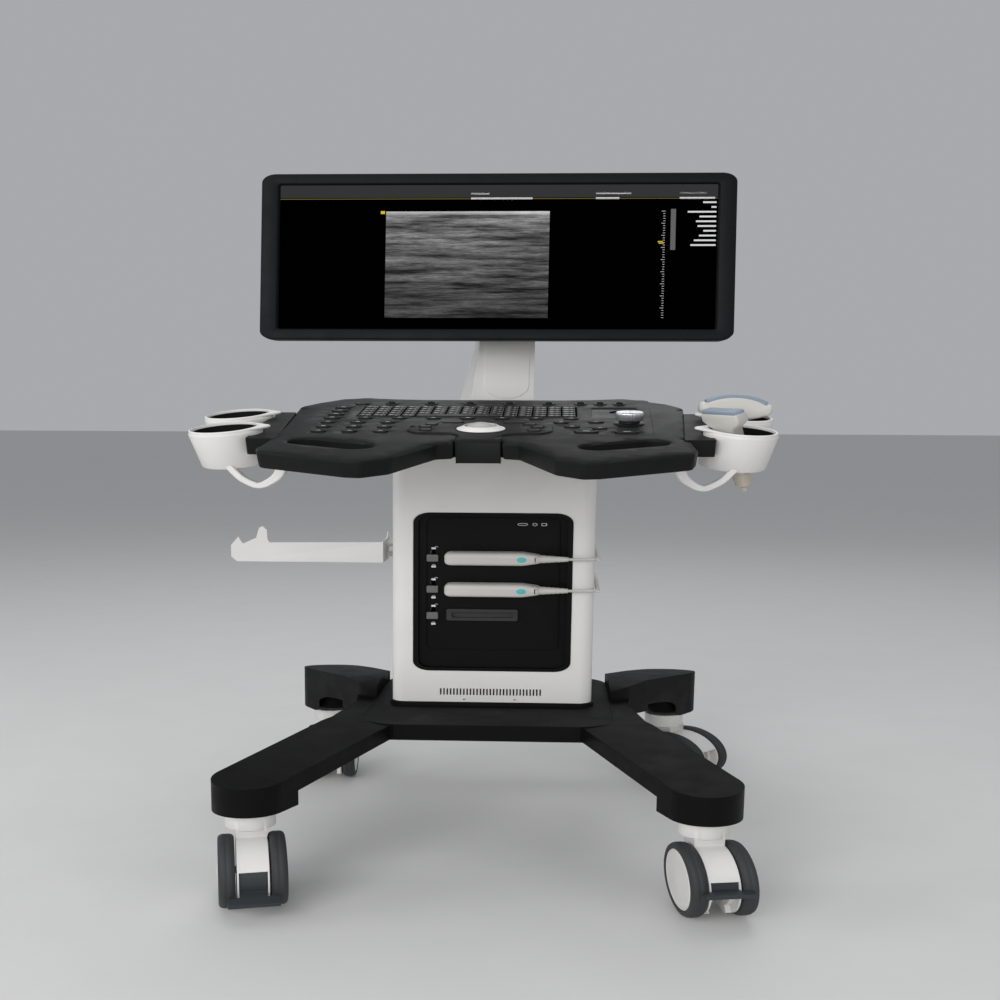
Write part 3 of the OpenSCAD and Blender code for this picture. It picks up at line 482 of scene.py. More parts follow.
def scan_image():
    """Generic tissue picture: stretched speckle in layers that grow darker with depth."""
    s = Shader("scan_image")
    split = s.add("ShaderNodeSeparateXYZ")
    s.join(s.place, split.inputs[0])
    depth = s.ramp(split.outputs["Z"], SCAN_TOP, SCAN_BOTTOM)
    layers = s.noise(1, 5, 0.62, s.stretched(9, 9, 85))
    fibres = s.noise(1, 6, 0.7, s.stretched(70, 70, 420))
    speckle = s.noise(1, 2, 0.6, s.stretched(900, 900, 1500))
    tissue = s.sum("MULTIPLY", s.ramp(layers, 0.36, 0.74, 0.1, 1.15), s.ramp(fibres, 0.25, 0.8, 0.25, 1.5))
    bright = s.sum("MULTIPLY", tissue, s.ramp(speckle, 0.2, 0.8, 0.7, 1.3))
    fade = s.ramp(depth, 0.0, 1.0, 1.0, 0.22)
    skin = s.ramp(depth, 0.03, 0.0, 0.0, 0.35)
    level = s.sum("ADD", s.sum("MULTIPLY", bright, s.sum("MULTIPLY", fade, 0.42)), skin, clamp=True)
    glow = s.add("ShaderNodeEmission")
    s.join(level, glow.inputs["Strength"])
    s.join(glow.outputs[0], s.output.inputs[0])
    return s.material


def board_material():
    """Green board with copper tracks."""
    s = Shader("circuit_board")
    body = s.add("ShaderNodeBsdfPrincipled")
    tracks = s.add("ShaderNodeTexBrick")
    s.join(s.place, tracks.inputs["Vector"])
    tracks.inputs["Scale"].default_value = 60
    tracks.inputs["Color1"].default_value = (0.02, 0.16, 0.08, 1)
    tracks.inputs["Color2"].default_value = (0.03, 0.20, 0.10, 1)
    tracks.inputs["Mortar"].default_value = (0.35, 0.30, 0.10, 1)
    s.join(tracks.outputs["Color"], body.inputs["Base Color"])
    s.join(s.ramp(s.noise(300, 3), 0.3, 0.7, 0.3, 0.5), body.inputs["Roughness"])
    s.join(body.outputs[0], s.output.inputs[0])
    return s.material


SCAN_TOP = 1.223 + 0.090
SCAN_BOTTOM = 1.223 - 0.120

WARM = (1.0, 0.985, 0.955)
NEUTRAL = (0.96, 1.0, 1.0)
BLUEISH = (0.86, 0.97, 1.12)

WHITE = surface("white_moulding", rgb(0.66, WARM), 0.42, grain=(1400, 0.18),
                worn=rgb(0.50, WARM), wear=0.35, mottle=0.02)
BALL = surface("ball_resin", rgb(0.36, WARM), 0.34, grain=(900, 0.05), mottle=0.02, wear=0.0)
CHARCOAL = surface("charcoal_moulding", rgb(0.0032, NEUTRAL), 0.48, grain=(1100, 0.35),
                   worn=rgb(0.02), wear=0.4, specular=0.09)
BLACK = surface("black_moulding", rgb(0.0060, NEUTRAL), 0.50, grain=(1300, 0.30),
                worn=rgb(0.03), wear=0.4, specular=0.14)
PANEL_BLACK = surface("panel_moulding", rgb(0.0025), 0.45, grain=(1300, 0.3), worn=rgb(0.015), wear=0.4,
                      specular=0.09)
KEY = surface("key_plastic", rgb(0.0045), 0.40, grain=(1500, 0.2), worn=rgb(0.05), wear=0.5,
              radius=0.0006, specular=0.22)
BEZEL = surface("bezel_plastic", rgb(0.0050, BLUEISH), 0.48, grain=(1600, 0.3), worn=rgb(0.02), wear=0.3,
                specular=0.10)
GLASS = surface("screen_glass", rgb(0.0001), 0.40, grain=(500, 0.02), mottle=0.0, wear=0.0, specular=0.0)
WINDOW = surface("window_glass", rgb(0.0012), 0.30, grain=(300, 0.05), worn=rgb(0.02), wear=0.2,
                 specular=0.04)
PROBE = surface("probe_plastic", rgb(0.52, (1.0, 0.97, 0.90)), 0.38, grain=(1500, 0.1),
                worn=rgb(0.42, WARM), wear=0.3, mottle=0.03)
PROBE_TAIL = surface("probe_tail", rgb(0.44, (1.0, 0.88, 0.70)), 0.42, grain=(1500, 0.1), mottle=0.04)
LENS_RUBBER = surface("lens_rubber", rgb(0.27, (0.78, 0.95, 1.18)), 0.5, grain=(1800, 0.15), mottle=0.04)
PLUG = surface("plug_plastic", rgb(0.50, (1.0, 0.975, 0.92)), 0.44, grain=(1500, 0.15),
               worn=rgb(0.38, WARM), wear=0.3, mottle=0.03)
SOCKET = surface("socket_plastic", rgb(0.022), 0.40, grain=(1300, 0.2), worn=rgb(0.09), wear=0.6,
                 specular=0.3)
LEVER = surface("lever_plastic", rgb(0.12), 0.42, grain=(1500, 0.2), worn=rgb(0.3), wear=0.5, radius=0.0006)
CABLE = surface("cable_jacket", rgb(0.50, (1.0, 0.98, 0.94)), 0.5, grain=(700, 0.25), mottle=0.05)
TYRE = surface("tyre_rubber", rgb(0.034, (0.97, 1.0, 1.03)), 0.62, grain=(1000, 0.5), worn=rgb(0.08),
               wear=0.6, specular=0.3)
PEDAL = surface("pedal_plastic", rgb(0.034, (0.84, 1.0, 1.14)), 0.42, grain=(1100, 0.35),
                worn=rgb(0.10), wear=0.5, specular=0.3)
STEEL = surface("frame_steel", rgb(0.40), 0.42, grain=(600, 0.3), metallic=1.0, worn=rgb(0.6), wear=0.4)
BRIGHT = surface("bright_steel", rgb(0.62), 0.24, grain=(800, 0.2), metallic=1.0, worn=rgb(0.8), wear=0.4)
BRACKET = surface("bracket_paint", rgb(0.62, WARM), 0.5, grain=(700, 0.4), worn=rgb(0.35), wear=0.5,
                  mottle=0.03)
KNOB = surface("knob_metal", rgb(0.60, (1, 1, 1.02)), 0.26, grain=(1000, 0.2), metallic=0.9,
               worn=rgb(0.85), wear=0.5, radius=0.0004)
FAN = surface("fan_plastic", rgb(0.016), 0.5, grain=(900, 0.3), worn=rgb(0.05), wear=0.3)
TEAL = surface("badge_teal", (0.05, 0.42, 0.42, 1), 0.35, grain=(1200, 0.1), mottle=0.05, wear=0.0)
INK = surface("print_ink", rgb(0.62), 0.6, grain=(1500, 0.2), mottle=0.05, wear=0.0)
DARK = surface("dark_gap", rgb(0.002), 0.7, grain=(900, 0.2), mottle=0.0, wear=0.0)
BOARD = board_material()
LIT_WHITE = light("lit_white", (0.85, 0.85, 0.85, 1), 0.8)
LIT_GREY = light("lit_grey", (0.35, 0.35, 0.35, 1), 0.35)
LIT_DIM = light("lit_dim", (0.035, 0.035, 0.037, 1))
LIT_AMBER = light("lit_amber", (0.75, 0.55, 0.05, 1), 0.9)
LIT_LINE = light("lit_line", (0.30, 0.22, 0.06, 1), 0.6)


# ---------- console ----------
DECK_CORNERS = [((24, -14), 2), ((25, -24), 3), ((41, -29), 8), ((79, -110), 14), ((106, -131), 12),
                ((124, -128), 12), ((216, -80), 12), ((221, -60), 10), ((217, 20), 60), ((230, 230), 30),
                ((214, 262), 20), ((190, 296), 16), ((160, 309), 24), ((90, 294), 60)]
DECK_EDGE_DROP = 5           # how far the soft lip falls at the console's edge
DECK_LIP = 13                # width of that lip
TRAY_DEPTH = 32
HOLE_DEPTH = 12              # depth of the wells the keys stand in
BUTTON = (16, 9)             # width and depth of the oval buttons
STACK_KEY = (19, 11)
WIDE_KEY = (26, 11)
POWER_SIZE = (17, 11)
LEFT_GRID = [(-175 + c * 33.5, 40 + r * 31) for c in range(3) for r in range(3)]
LOW_ROW = [(-137.5 + i * 38.9, 134) for i in range(7)]
RIGHT_SET = [(85, 106), (97, 76), (124, 110), (127, 66)]
LEFT_STACK = [(-175.5, 134 + i * 27) for i in range(4)]
WIDE_SET = [(112, 43), (155, 41)]
SOFT_ROW = [(-121 + i * 47.6, 248) for i in range(5)] + [(108 + i * 23.5, 250) for i in range(3)]
BALL_KEYS = [(-57, 83), (-62, 65), (-60, 44), (50, 84), (59, 65), (56, 43)]
WEDGE_KEYS = [(-35, 98), (33, 98)]
POWER_KEY = (-157, 247)
KNOB_AT = (160, 100)
BALL_AT = (-1, 52)
BALL_R = 20
KEYBOARD = (-150, 102, 148, 228)
WINDOW_BOX = (120, 174, 146, 219)
DIAL_AT = (155, 191)


def deck_outline():
    corners = DECK_CORNERS + [((-p[0], p[1]), r) for p, r in reversed(DECK_CORNERS)]
    return fillet([c[0] for c in corners], [c[1] for c in corners], 7)


def box_outline(x0, x1, y0, y1, r=3.0, steps=4):
    return shifted(rounded_rect(x1 - x0, y1 - y0, r, steps), (x0 + x1) / 2, (y0 + y1) / 2)


def slot_outline(side, r=19.0):
    a, b = Vector((177, -21)), Vector((122, -48))
    heading = math.degrees(math.atan2(a.y - b.y, a.x - b.x))
    shape = arc(a.x, a.y, r, heading - 90, heading + 90, 14)
    shape += arc(b.x, b.y, r, heading + 90, heading + 270, 14)
    return shape if side > 0 else mirrored(shape)


def island_outline():
    """Outline round the trackball: two lobes and a neck that runs to the front edge."""
    right = [((24, -20), 1), ((24, 16), 7), ((38, 25), 9), ((66, 26), 12), ((77, 42), 16), ((76, 80), 20),
             ((52, 106), 24)]
    left = [((-4 - x if y > 20 else -x, y), r) for (x, y), r in reversed(right)]
    corners = right + left
    return fillet([c[0] for c in corners], [c[1] for c in corners], 6)


def key_holes():
    """Openings in the deck for every key, the keyboard and the window."""
    gap = 0.7

    def oval(size):
        return pill(size[0] + 2 * gap, size[1] + 2 * gap)

    holes = [shifted(oval(BUTTON), *p) for p in LEFT_GRID + LOW_ROW + RIGHT_SET]
    holes += [shifted(oval(STACK_KEY), *p) for p in LEFT_STACK]
    holes += [shifted(oval(WIDE_KEY), *p) for p in WIDE_SET]
    holes += [shifted(oval(POWER_SIZE), *POWER_KEY)]
    holes += [shifted(rounded_rect(14 + 2 * gap, 9 + 2 * gap, 3), *p) for p in SOFT_ROW]
    holes += [box_outline(KEYBOARD[0] - 1, KEYBOARD[1] + 1, KEYBOARD[2] - 1, KEYBOARD[3] + 1)]
    holes += [box_outline(*WINDOW_BOX)]
    return holes


def console_shell():
    """Top, sides and floor of the console as one moulding with a soft drooping lip."""
    outline = deck_outline()
    slots = [slot_outline(-1), slot_outline(1)]
    holes = key_holes()

    def height(points):
        edge = np.clip(1 - distance_to(outline, points) / DECK_LIP, 0, 1)
        z = -DECK_EDGE_DROP * (1 - np.sqrt(np.clip(1 - edge ** 3, 0, 1)))
        for slot in slots:
            near = np.clip(1 - distance_to(slot, points) / 4.0, 0, 1)
            z -= 4.0 * (1 - np.sqrt(1 - near ** 2))
        for hole in holes:
            z -= 0.5 * np.clip(1 - distance_to(hole, points) / 0.8, 0, 1)
        return z

    bm = bmesh.new()
    rows = [(outline, 1, (0.5, 1.1, 1.9, 3, 4.5, 6.5, 9, 11.5, DECK_LIP, DECK_LIP + 1.5))]
    rows += [(slot, -1, (0.5, 1.2, 2.4, 4.0)) for slot in slots]
    rows += [(hole, -1, (0.8,)) for hole in holes]
    sheet(bm, outline, slots + holes, height, rows, grid=14)
    sides = ((0.1, -8), (1.2, -28.5), (2.0, -30.8), (4.0, -TRAY_DEPTH))
    wall(bm, [draped(outline, height(np.array(outline)))] + levels_of(outline, sides))
    floor_slots = [inset(slot, -1.5) for slot in slots]
    sheet(bm, inset(outline, 4.0), floor_slots, lambda p: np.full(len(p), -float(TRAY_DEPTH)))
    for slot, floor_slot in zip(slots, floor_slots):
        wall(bm, [draped(slot, height(np.array(slot))), level(slot, -28), level(floor_slot, -TRAY_DEPTH)])
    for hole in holes:
        loft(bm, [draped(hole, height(np.array(hole))), level(hole, -HOLE_DEPTH)], cap_first=False)
    piece("console_shell", bm, BLACK, "root", DECK, ["console_deck", "console_tray", "keyboard_plate"],
          angle=38)


def console_belly():
    """Deep middle of the console's underside, over the column."""
    side = [(-176, 888), (-120, 860), (90, 860), (90, 898), (2, 925)]
    shape = fillet(side, [6, 5, 6, 4, 6], 4)
    bm = bmesh.new()
    across(bm, shape, [(4, -112), (0.8, -110.5), (0, -107), (0, 107), (0.8, 110.5), (4, 112)])
    piece("console_belly", bm, BLACK, "root", TO_METRES)


def console_island():
    """Raised trim round the trackball, with its front tongue."""
    bm = bmesh.new()
    outline = island_outline()
    holes = [shifted(circle(25.4), *BALL_AT)]
    holes += [shifted(rounded_rect(14.2, 12.2, 3), *p) for p in BALL_KEYS]
    holes += [shifted(rounded_rect(25.2, 10.2, 3), *p) for p in WEDGE_KEYS]

    def height(points):
        edge = np.clip(1 - distance_to(outline, points) / 3.5, 0, 1)
        z = 2.4 - 2.4 * (1 - np.sqrt(1 - edge ** 2))
        for hole in holes:
            z -= 0.4 * np.clip(1 - distance_to(hole, points) / 0.8, 0, 1)
        return z

    rows = [(outline, 1, (0.5, 1.2, 2.2, 3.5))] + [(hole, -1, (0.8,)) for hole in holes]
    sheet(bm, outline, holes, height, rows, grid=12)
    wall(bm, [draped(outline, height(np.array(outline))), level(outline, -2)])
    for hole in holes:
        is_open = hole is holes[0]
        rings = [draped(hole, height(np.array(hole))), level(hole, -9)]
        loft(bm, rings, cap_first=False, cap_last=not is_open)
    piece("island_trim", bm, BLACK, "root", DECK, ["centre_trim"], angle=38)

    bm = bmesh.new()
    front = [(-20, -40), (-20, -3), (-17.5, 0.4), (-14, 2.3), (-9, 2.3), (-5, 1), (-5, -40)]
    across(bm, front, [(1.2, -23.2), (0.3, -22.6), (0, -21.8), (0, 21.8), (0.3, 22.6), (1.2, 23.2)])
    piece("island_front", bm, BLACK, "root", DECK)


def keyboard():
    """Fifteen by five sloped key caps with a generic bar printed on each."""
    cols, rows = 15, 5
    bar_from, bar_to = 4, 9
    pitch_x = (KEYBOARD[1] - KEYBOARD[0]) / cols
    pitch_y = (KEYBOARD[3] - KEYBOARD[2]) / rows
    caps, prints = bmesh.new(), bmesh.new()
    for row in range(rows):
        for col in range(cols):
            if row == 0 and bar_from < col <= bar_to:
                continue
            wide = bar_to - bar_from if row == 0 and col == bar_from else 0
            w = pitch_x * (1 + wide) - 0.9
            h = pitch_y - 3.2
            x = KEYBOARD[0] + col * pitch_x + pitch_x * (1 + wide) / 2
            y = KEYBOARD[2] + (row + 0.5) * pitch_y
            shape = shifted(rounded_rect(w, h, 1.6, 3), x, y)
            stack(caps, shape, [(0, -6), (0, -0.6), (0.3, 0.4), (0.8, 1.0), (1.5, 1.3), (2.6, 1.35)])
            if not wide:
                mark = rounded_rect(3.2 + (col * 7 + row * 3) % 3, 1.8, 0.5, 1)
                stack(prints, shifted(mark, x - 3, y + 2.2), [(0, 1.2), (0, 1.5)])
                stack(prints, shifted(rounded_rect(2.4, 1.4, 0.4, 1), x + 3.4, y - 3), [(0, 1.2), (0, 1.5)])
    piece("keyboard_caps", caps, KEY, "keyboard", DECK, ["keyboard_keys"], angle=50)
    piece("keyboard_prints", prints, INK, "keyboard", DECK)


def buttons():
    """Oval buttons with a shallow dished top, the paddle keys and the keys round the ball."""
    bm, marks = bmesh.new(), bmesh.new()
    dished = [(0, -7), (0, 0.8), (0.3, 1.8), (0.9, 2.4), (1.5, 2.5), (2.4, 2.0)]
    for (w, h), places in ((BUTTON, LEFT_GRID + LOW_ROW + RIGHT_SET), (STACK_KEY, LEFT_STACK),
                           (WIDE_KEY, WIDE_SET)):
        for x, y in places:
            stack(bm, shifted(pill(w, h), x, y), dished)
            stack(marks, shifted(rounded_rect(w * 0.3, 1.6, 0.5, 1), x, y + 0.6), [(0, 1.9), (0, 2.2)])
    piece("oval_buttons", bm, KEY, "button_field", DECK, ["function_buttons"], angle=50)
    piece("oval_marks", marks, INK, "button_field", DECK)

    bm = bmesh.new()
    for x, y in SOFT_ROW:
        shape = shifted(rounded_rect(14, 9, 3), x, y)
        stack(bm, shape, [(0, -7), (0, 0.8), (0.4, 1.6), (1.2, 2.0), (2.2, 2.1)])
        stack(bm, shifted(rounded_rect(9, 4.6, 2), x, y), crowned(5.2, 1.6, 1.0, 0.2))
    piece("paddle_keys", bm, KEY, "soft_key_row", DECK, ["soft_keys"], angle=50)

    bm = bmesh.new()
    for size, places in (((13, 11), BALL_KEYS), ((24, 9), WEDGE_KEYS)):
        for x, y in places:
            rising = [(0, -6), (0, 2.4), (0.4, 3.4), (1.1, 4.0), (2.6, 4.2)]
            stack(bm, shifted(rounded_rect(*size, 3), x, y), rising)
    piece("ball_key_caps", bm, KEY, "ball_key_ring", DECK, ["trackball_keys"], angle=50)

    bm = bmesh.new()
    stack(bm, shifted(pill(*POWER_SIZE), *POWER_KEY), dished)
    piece("power_cap", bm, KEY, "power", DECK, ["power_button"], angle=50)


def trackball():
    """White ball in a ring that flares out over the island."""
    sink = 10
    place = DECK @ move(BALL_AT[0], BALL_AT[1], 0)
    bm = bmesh.new()
    lathe(bm, [(20.4, -12), (25, -12), (25, 2.2), (25.8, 2.6), (26.4, 3.2), (26.0, 3.9), (24.6, 4.6),
               (22.2, 5.8), (20.0, 7.6), (18.4, 9.4), (17.9, 9.6), (17.7, 9.0), (19.2, 5), (20.4, -3),
               (20.4, -12)])
    piece("ball_ring", bm, WHITE, "root", place, ["trackball_ring"])
    bm = bmesh.new()
    centre_z = 5 - sink
    ball = [(BALL_R * math.sin(a), centre_z - BALL_R * math.cos(a)) for a in angles(64)[:33]]
    ball[0], ball[-1] = (0, ball[0][1]), (0, ball[-1][1])
    lathe(bm, ball)
    piece("track_ball", bm, BALL, "ball", place, ["trackball"], angle=60)


def knob():
    """Knurled metal gain knob on a dark foot ring."""
    place = DECK @ move(KNOB_AT[0], KNOB_AT[1], 0)
    bm = bmesh.new()
    lathe(bm, [(0, 0.2), (17, 0.2), (17, 1.2), (15.6, 2.4), (13, 2.6), (12, 3.2), (11, 9), (0, 9)], 48)
    piece("knob_foot", bm, KEY, "gain", place)
    bm = bmesh.new()
    ridges, steps = 32, 4
    rings = []
    outside, groove = 15.5, 0.45
    for z, scale in ((8.4, 0.93), (9.2, 0.985), (10, 1), (20.5, 1), (21.8, 0.985), (22.8, 0.94),
                     (23.2, 0.86)):
        ring = []
        for i, a in enumerate(angles(ridges * steps)):
            r = outside - (groove if 9 < z < 22 and i % steps in (0, 1) else 0)
            ring.append((r * scale * math.cos(a), r * scale * math.sin(a), z))
        rings.append(ring)
    loft(bm, rings)
    piece("knob_grip", bm, KNOB, "gain", place, ["gain_knob"], angle=30)


def window():
    """Dark display window with a dial recess."""
    bm = bmesh.new()
    dial = shifted(circle(14, 48), *DIAL_AT)
    outline = box_outline(*WINDOW_BOX)
    sheet(bm, outline, [dial], lambda p: np.full(len(p), -1.4))
    loft(bm, levels_of(dial, [(0, -1.4), (1.2, -3.6)]), cap_first=False)
    loft(bm, [level(outline, -1.4), level(outline, -4)], cap_first=False)
    piece("status_window", bm, WINDOW, "root", DECK, ["display_window"])


def seams():
    """Fine parting lines on the console's top."""
    bm = bmesh.new()
    lines = [((190, 228), (183, 30)), ((183, 30), (160, 14)), ((-190, 228), (-183, 30)),
             ((-183, 30), (-160, 14)), ((72, 52), (112, 5)), ((-76, 52), (-116, 5)),
             ((-140, 258), (150, 258))]
    for a, b in lines:
        a, b = Vector(a), Vector(b)
        side = Vector((b.y - a.y, a.x - b.x)).normalized() * 0.35
        corners = [a - side, a + side, b + side, b - side]
        loft(bm, [level(corners, z) for z in (-0.6, 0.06)])
    piece("console_seams", bm, DARK, "root", DECK)


# ---------- cups and probes ----------
CUPS = [(275, 36, 4), (285, 142, 2)]
CUP_LEAN = 6
CUP_R = 40
CUP_FOOT_R = 36
CUP_HOLE = 35
CUP_DRAIN = 25
CUP_LIP = 50                 # reach of the lip on the console's side
STRAP = [(267, 826), (255, 806), (243, 795), (234, 791.5), (224, 798), (214, 811), (209, 832), (207, 846)]


def cup_place(side, cup):
    return move(side * cup[0], cup[1], cup[2]) @ turn(side * CUP_LEAN, "Y")


def teardrop(side, r, tip, steps=48):
    """Round outline with a blunt point towards the console."""
    small = 5
    spread = math.degrees(math.acos((r - small) / (tip - small)))
    points = arc(0, 0, r, spread - 180, 180 - spread, steps)
    points += arc(small - tip, 0, small, 180 - spread, 180 + spread, 10)
    return points if side > 0 else mirrored(points)


def cup_holders():
    """Tapered probe cups with a flat lipped rim and dark inner shells that paint in the shade inside the
    cups, the side arms and the cable straps.
    """
    outer = [(CUP_DRAIN, -66), (CUP_FOOT_R - 2, -66), (CUP_FOOT_R, -64), (CUP_R - 0.3, -5),
             (CUP_R - 0.2, -3.4), (CUP_R - 0.8, -1.6), (CUP_R - 1.4, 0.2), (CUP_HOLE + 1, 0.2),
             (CUP_HOLE, -2), (CUP_HOLE - 2.6, -61), (CUP_DRAIN, -61), (CUP_DRAIN, -66)]
    # Painted shade: a dark inner shell lines each cup to stand in for the shadow inside it.
    painted_shade_shell = [(CUP_DRAIN + 0.5, -60.9), (CUP_HOLE - 3.6, -60.9), (CUP_HOLE - 1, -6), (CUP_HOLE - 0.8, -0.6),
             (CUP_HOLE - 0.1, -0.6), (CUP_HOLE - 2.6, -60.95), (CUP_DRAIN + 0.5, -60.95)]
    for side, name in ((1, "right"), (-1, "left")):
        white, dark = bmesh.new(), bmesh.new()
        for cup in CUPS:
            place = cup_place(side, cup)
            lathe(white, outer, 72, place)
            lathe(dark, painted_shade_shell, 72, place)
            rim(white, side, place)
        piece(name + "_cup_pair", white, WHITE, "root", DECK, [name + "_cups"], angle=45)
        # The dark inner shells are painted shade inside the cups.
        piece(name + "_cup_shade_shells", dark, BLACK, "root", DECK, angle=45)
        bridge = bmesh.new()
        between = shifted(rounded_rect(28, 50, 6), side * 280, 89)
        stack(bridge, between, [(0, -40), (0, -18), (1, -16.5), (3, -16)])
        piece(name + "_cup_bridge", bridge, WHITE, "root", DECK)
        cup_arm(side, name)
        cable_strap(side, name)


def rim(bm, side, place):
    """Flat ring with its lip, closed all round and softened at both edges."""
    outer = teardrop(side, CUP_R - 1.5, CUP_LIP)
    hole = circle(CUP_HOLE, len(outer))
    hole = hole if side > 0 else mirrored(hole)
    start = min(range(len(hole)), key=lambda k: math.dist(hole[k], outer[0]))
    hole = hole[start:] + hole[:start]
    rings = levels_of(outer, [(1.2, -1), (0, 0.2), (0, 2.2), (0.5, 3.4), (1.6, 4)])
    rings += levels_of(hole, [(-1.2, 4), (-0.3, 3.5), (0, 2.4), (0, -3)])
    wall(bm, [[place @ Vector(point) for point in ring] for ring in rings])


def cup_arm(side, name):
    """Dark bar that carries both cups from the console's edge."""
    (ax, ay), (bx, by) = [cup[:2] for cup in CUPS]
    clear_r = CUP_R + 1
    arm = arc(241, 0, 4, -90, -20, 4) + [(245, 12)]
    arm += arc(ax, ay, clear_r, 215, 130, 10) + arc(bx, by, clear_r, 205, 160, 6)
    arm += [(245, 179), (226, 179), (212, -4)]
    arm = arm if side > 0 else mirrored(arm)
    bm = bmesh.new()
    stack(bm, arm, [(0, -31), (0, -1.4), (0.8, -0.5)])
    piece(name + "_cup_arm", bm, BLACK, "root", DECK, ["cup_arms"] if side > 0 else ())


def cable_strap(side, name):
    """Ribbon that hangs in a loop under the front cup and widens towards the console."""
    path = smooth_path([(side * x, 0, z) for x, z in STRAP], 5)
    front_y, depth, soft = -272, 14, 1.2
    rings = []
    for i, here in enumerate(path):
        along = (path[min(i + 1, len(path) - 1)] - path[max(i - 1, 0)]).normalized()
        out = Vector((-along.z, 0, along.x))
        half = 4.2 + 2.2 * i / (len(path) - 1)
        section = [(-half, soft), (soft - half, 0), (half - soft, 0), (half, soft), (half, depth - soft),
                   (half - soft, depth), (soft - half, depth), (-half, depth - soft)]
        rings.append([(here.x + out.x * t, front_y + y, here.z + out.z * t) for t, y in section])
    bm = bmesh.new()
    loft(bm, rings)
    piece(name + "_cable_strap", bm, WHITE, "root", TO_METRES)


def superellipse(a, b, z, power=2.6, steps=40):
    """Ring between an oval and a rounded rectangle, with half widths a and b."""
    def bulge(value):
        return math.copysign(abs(value) ** (2 / power), value)

    return [(bulge(math.cos(t)) * a, bulge(math.sin(t)) * b, z) for t in angles(steps)]


LENS_CURVE = 56              # radius of the curved probe's face
LENS_CENTRE_Z = -12
LENS_DEPTH = 5
CONVEX_SIDE = [(16, -3), (27, 1), (36, 6), (40, 10), (41, 14), (41, 24), (39.5, 27), (36, 28)]
CONVEX_GRIP = [(-52, 5.5, 5.5), (-50, 7, 7), (-38, 9.2, 9), (-26, 11.5, 10), (-14, 13, 10.6), (0, 16, 10.6),
               (3, 17, 10)]
LINEAR_SIDE = [(8.5, 26), (12, 60), (14, 114), (24, 127), (24, 142)]
LINEAR_COLLAR = [(0, 5.6), (0.8, 7.5), (12, 8.2), (26, 9.0), (34, 9.3), (36, 8)]


def face_arc(r, reach, steps=24):
    """Points along the curved probe's face, from its right end to its left end."""
    spread = math.degrees(math.asin(reach / r))
    return arc(0, LENS_CENTRE_Z, r, 90 - spread, 90 + spread, steps)


def slab(bm, outline, half, soft):
    """Flat part standing in the probe's own plane, with rounded edges all round."""
    steps = ((soft, 0), (soft * 0.45, soft * 0.25), (soft * 0.12, soft * 0.6), (0, soft))
    levels = [(d, -half + y) for d, y in steps] + [(d, half - y) for d, y in reversed(steps)]
    loft(bm, [[(x, y, z) for x, z in inset(outline, d)] for d, y in levels])


def probes():
    """The curved probe stands in the rear right cup, the straight one leans in the front right cup."""
    convex = DECK @ move(*CUPS[1]) @ turn(-math.degrees(DECK_TILT), "X") @ move(-5.7, 0, 0) @ turn(4, "Y")
    bm = bmesh.new()
    face = face_arc(LENS_CURVE - LENS_DEPTH, 33.5)
    slab(bm, CONVEX_SIDE + face + [(-x, z) for x, z in reversed(CONVEX_SIDE)], 11, 4)
    piece("convex_body", bm, PROBE, "convex", convex, ["convex_probe"], angle=60)
    bm = bmesh.new()
    loft(bm, [superellipse(a, b, z, 2.2) for z, a, b in CONVEX_GRIP])
    piece("convex_grip", bm, PROBE, "convex", convex, angle=60)
    bm = bmesh.new()
    inner_face = face_arc(LENS_CURVE - LENS_DEPTH - 3, 32.5)
    slab(bm, face_arc(LENS_CURVE, 35) + inner_face[::-1], 9.8, 2.0)
    piece("convex_lens", bm, LENS_RUBBER, "convex", convex, angle=60)

    linear = TO_METRES @ move(283, -224, 794) @ turn(-13, "Y") @ turn(18, "X") @ turn(-48, "Z")
    bm = bmesh.new()
    slab(bm, LINEAR_SIDE + [(-x, z) for x, z in reversed(LINEAR_SIDE)], 10, 3.2)
    piece("linear_body", bm, PROBE, "linear", linear, ["linear_probe"], angle=60)
    bm = bmesh.new()
    slab(bm, [(22.5, 138), (22.5, 146), (21, 148), (-21, 148), (-22.5, 146), (-22.5, 138)], 8.6, 1.8)
    piece("linear_lens", bm, LENS_RUBBER, "linear", linear, angle=60)
    bm = bmesh.new()
    loft(bm, [superellipse(r, r, z, 2.6) for z, r in LINEAR_COLLAR])
    piece("linear_collar", bm, PROBE_TAIL, "linear", linear, angle=60)


CONVEX_END = [(225, -110, 847), (262, -126, 846), (275, -138, 848), (275.7, -147, 856), (275.7, -148, 866)]
LINEAR_END = [(225, -184, 848), (264, -186, 848), (282, -188, 841), (286, -194, 818), (286, -204, 792),
              (286, -214, 784), (284, -222, 788)]
CABLE_R = 3


def cables():
    """Probe cables: out of the plugs, round the column, under the console and up into the cups."""
    side_x, plug_y, back_y = 137, PANEL_FLOOR_Y - 18.5, COLUMN_BACK_Y + 8
    for letter, z, up_x, probe, end in (("a", SOCKET_Z[0], 96, "convex", CONVEX_END),
                                        ("b", SOCKET_Z[1], 82, "linear", LINEAR_END)):
        name = "cable_%s_" % letter
        front = [(90, plug_y, z), (103.5, plug_y, z), (side_x - 4, plug_y + 4, z), (side_x, plug_y + 16, z),
                 (side_x, back_y - 8, z), (side_x - 8, back_y, z), (up_x + 6, back_y, z + 2),
                 (up_x, back_y, z + 12)]
        back = [(up_x, back_y, z + 12), (up_x, back_y, 818), (up_x + 8, back_y, 836),
                (side_x + 6, back_y - 4, 841), (side_x + 30, back_y - 60, 842)]
        cable(name + "front", front, ("plug_%s_body" % letter, "root"))
        cable(name + "back", back, nodes=["probe_cables"] if letter == "a" else ())
        cable(name + "head", [back[-1]] + end, ("root", probe))


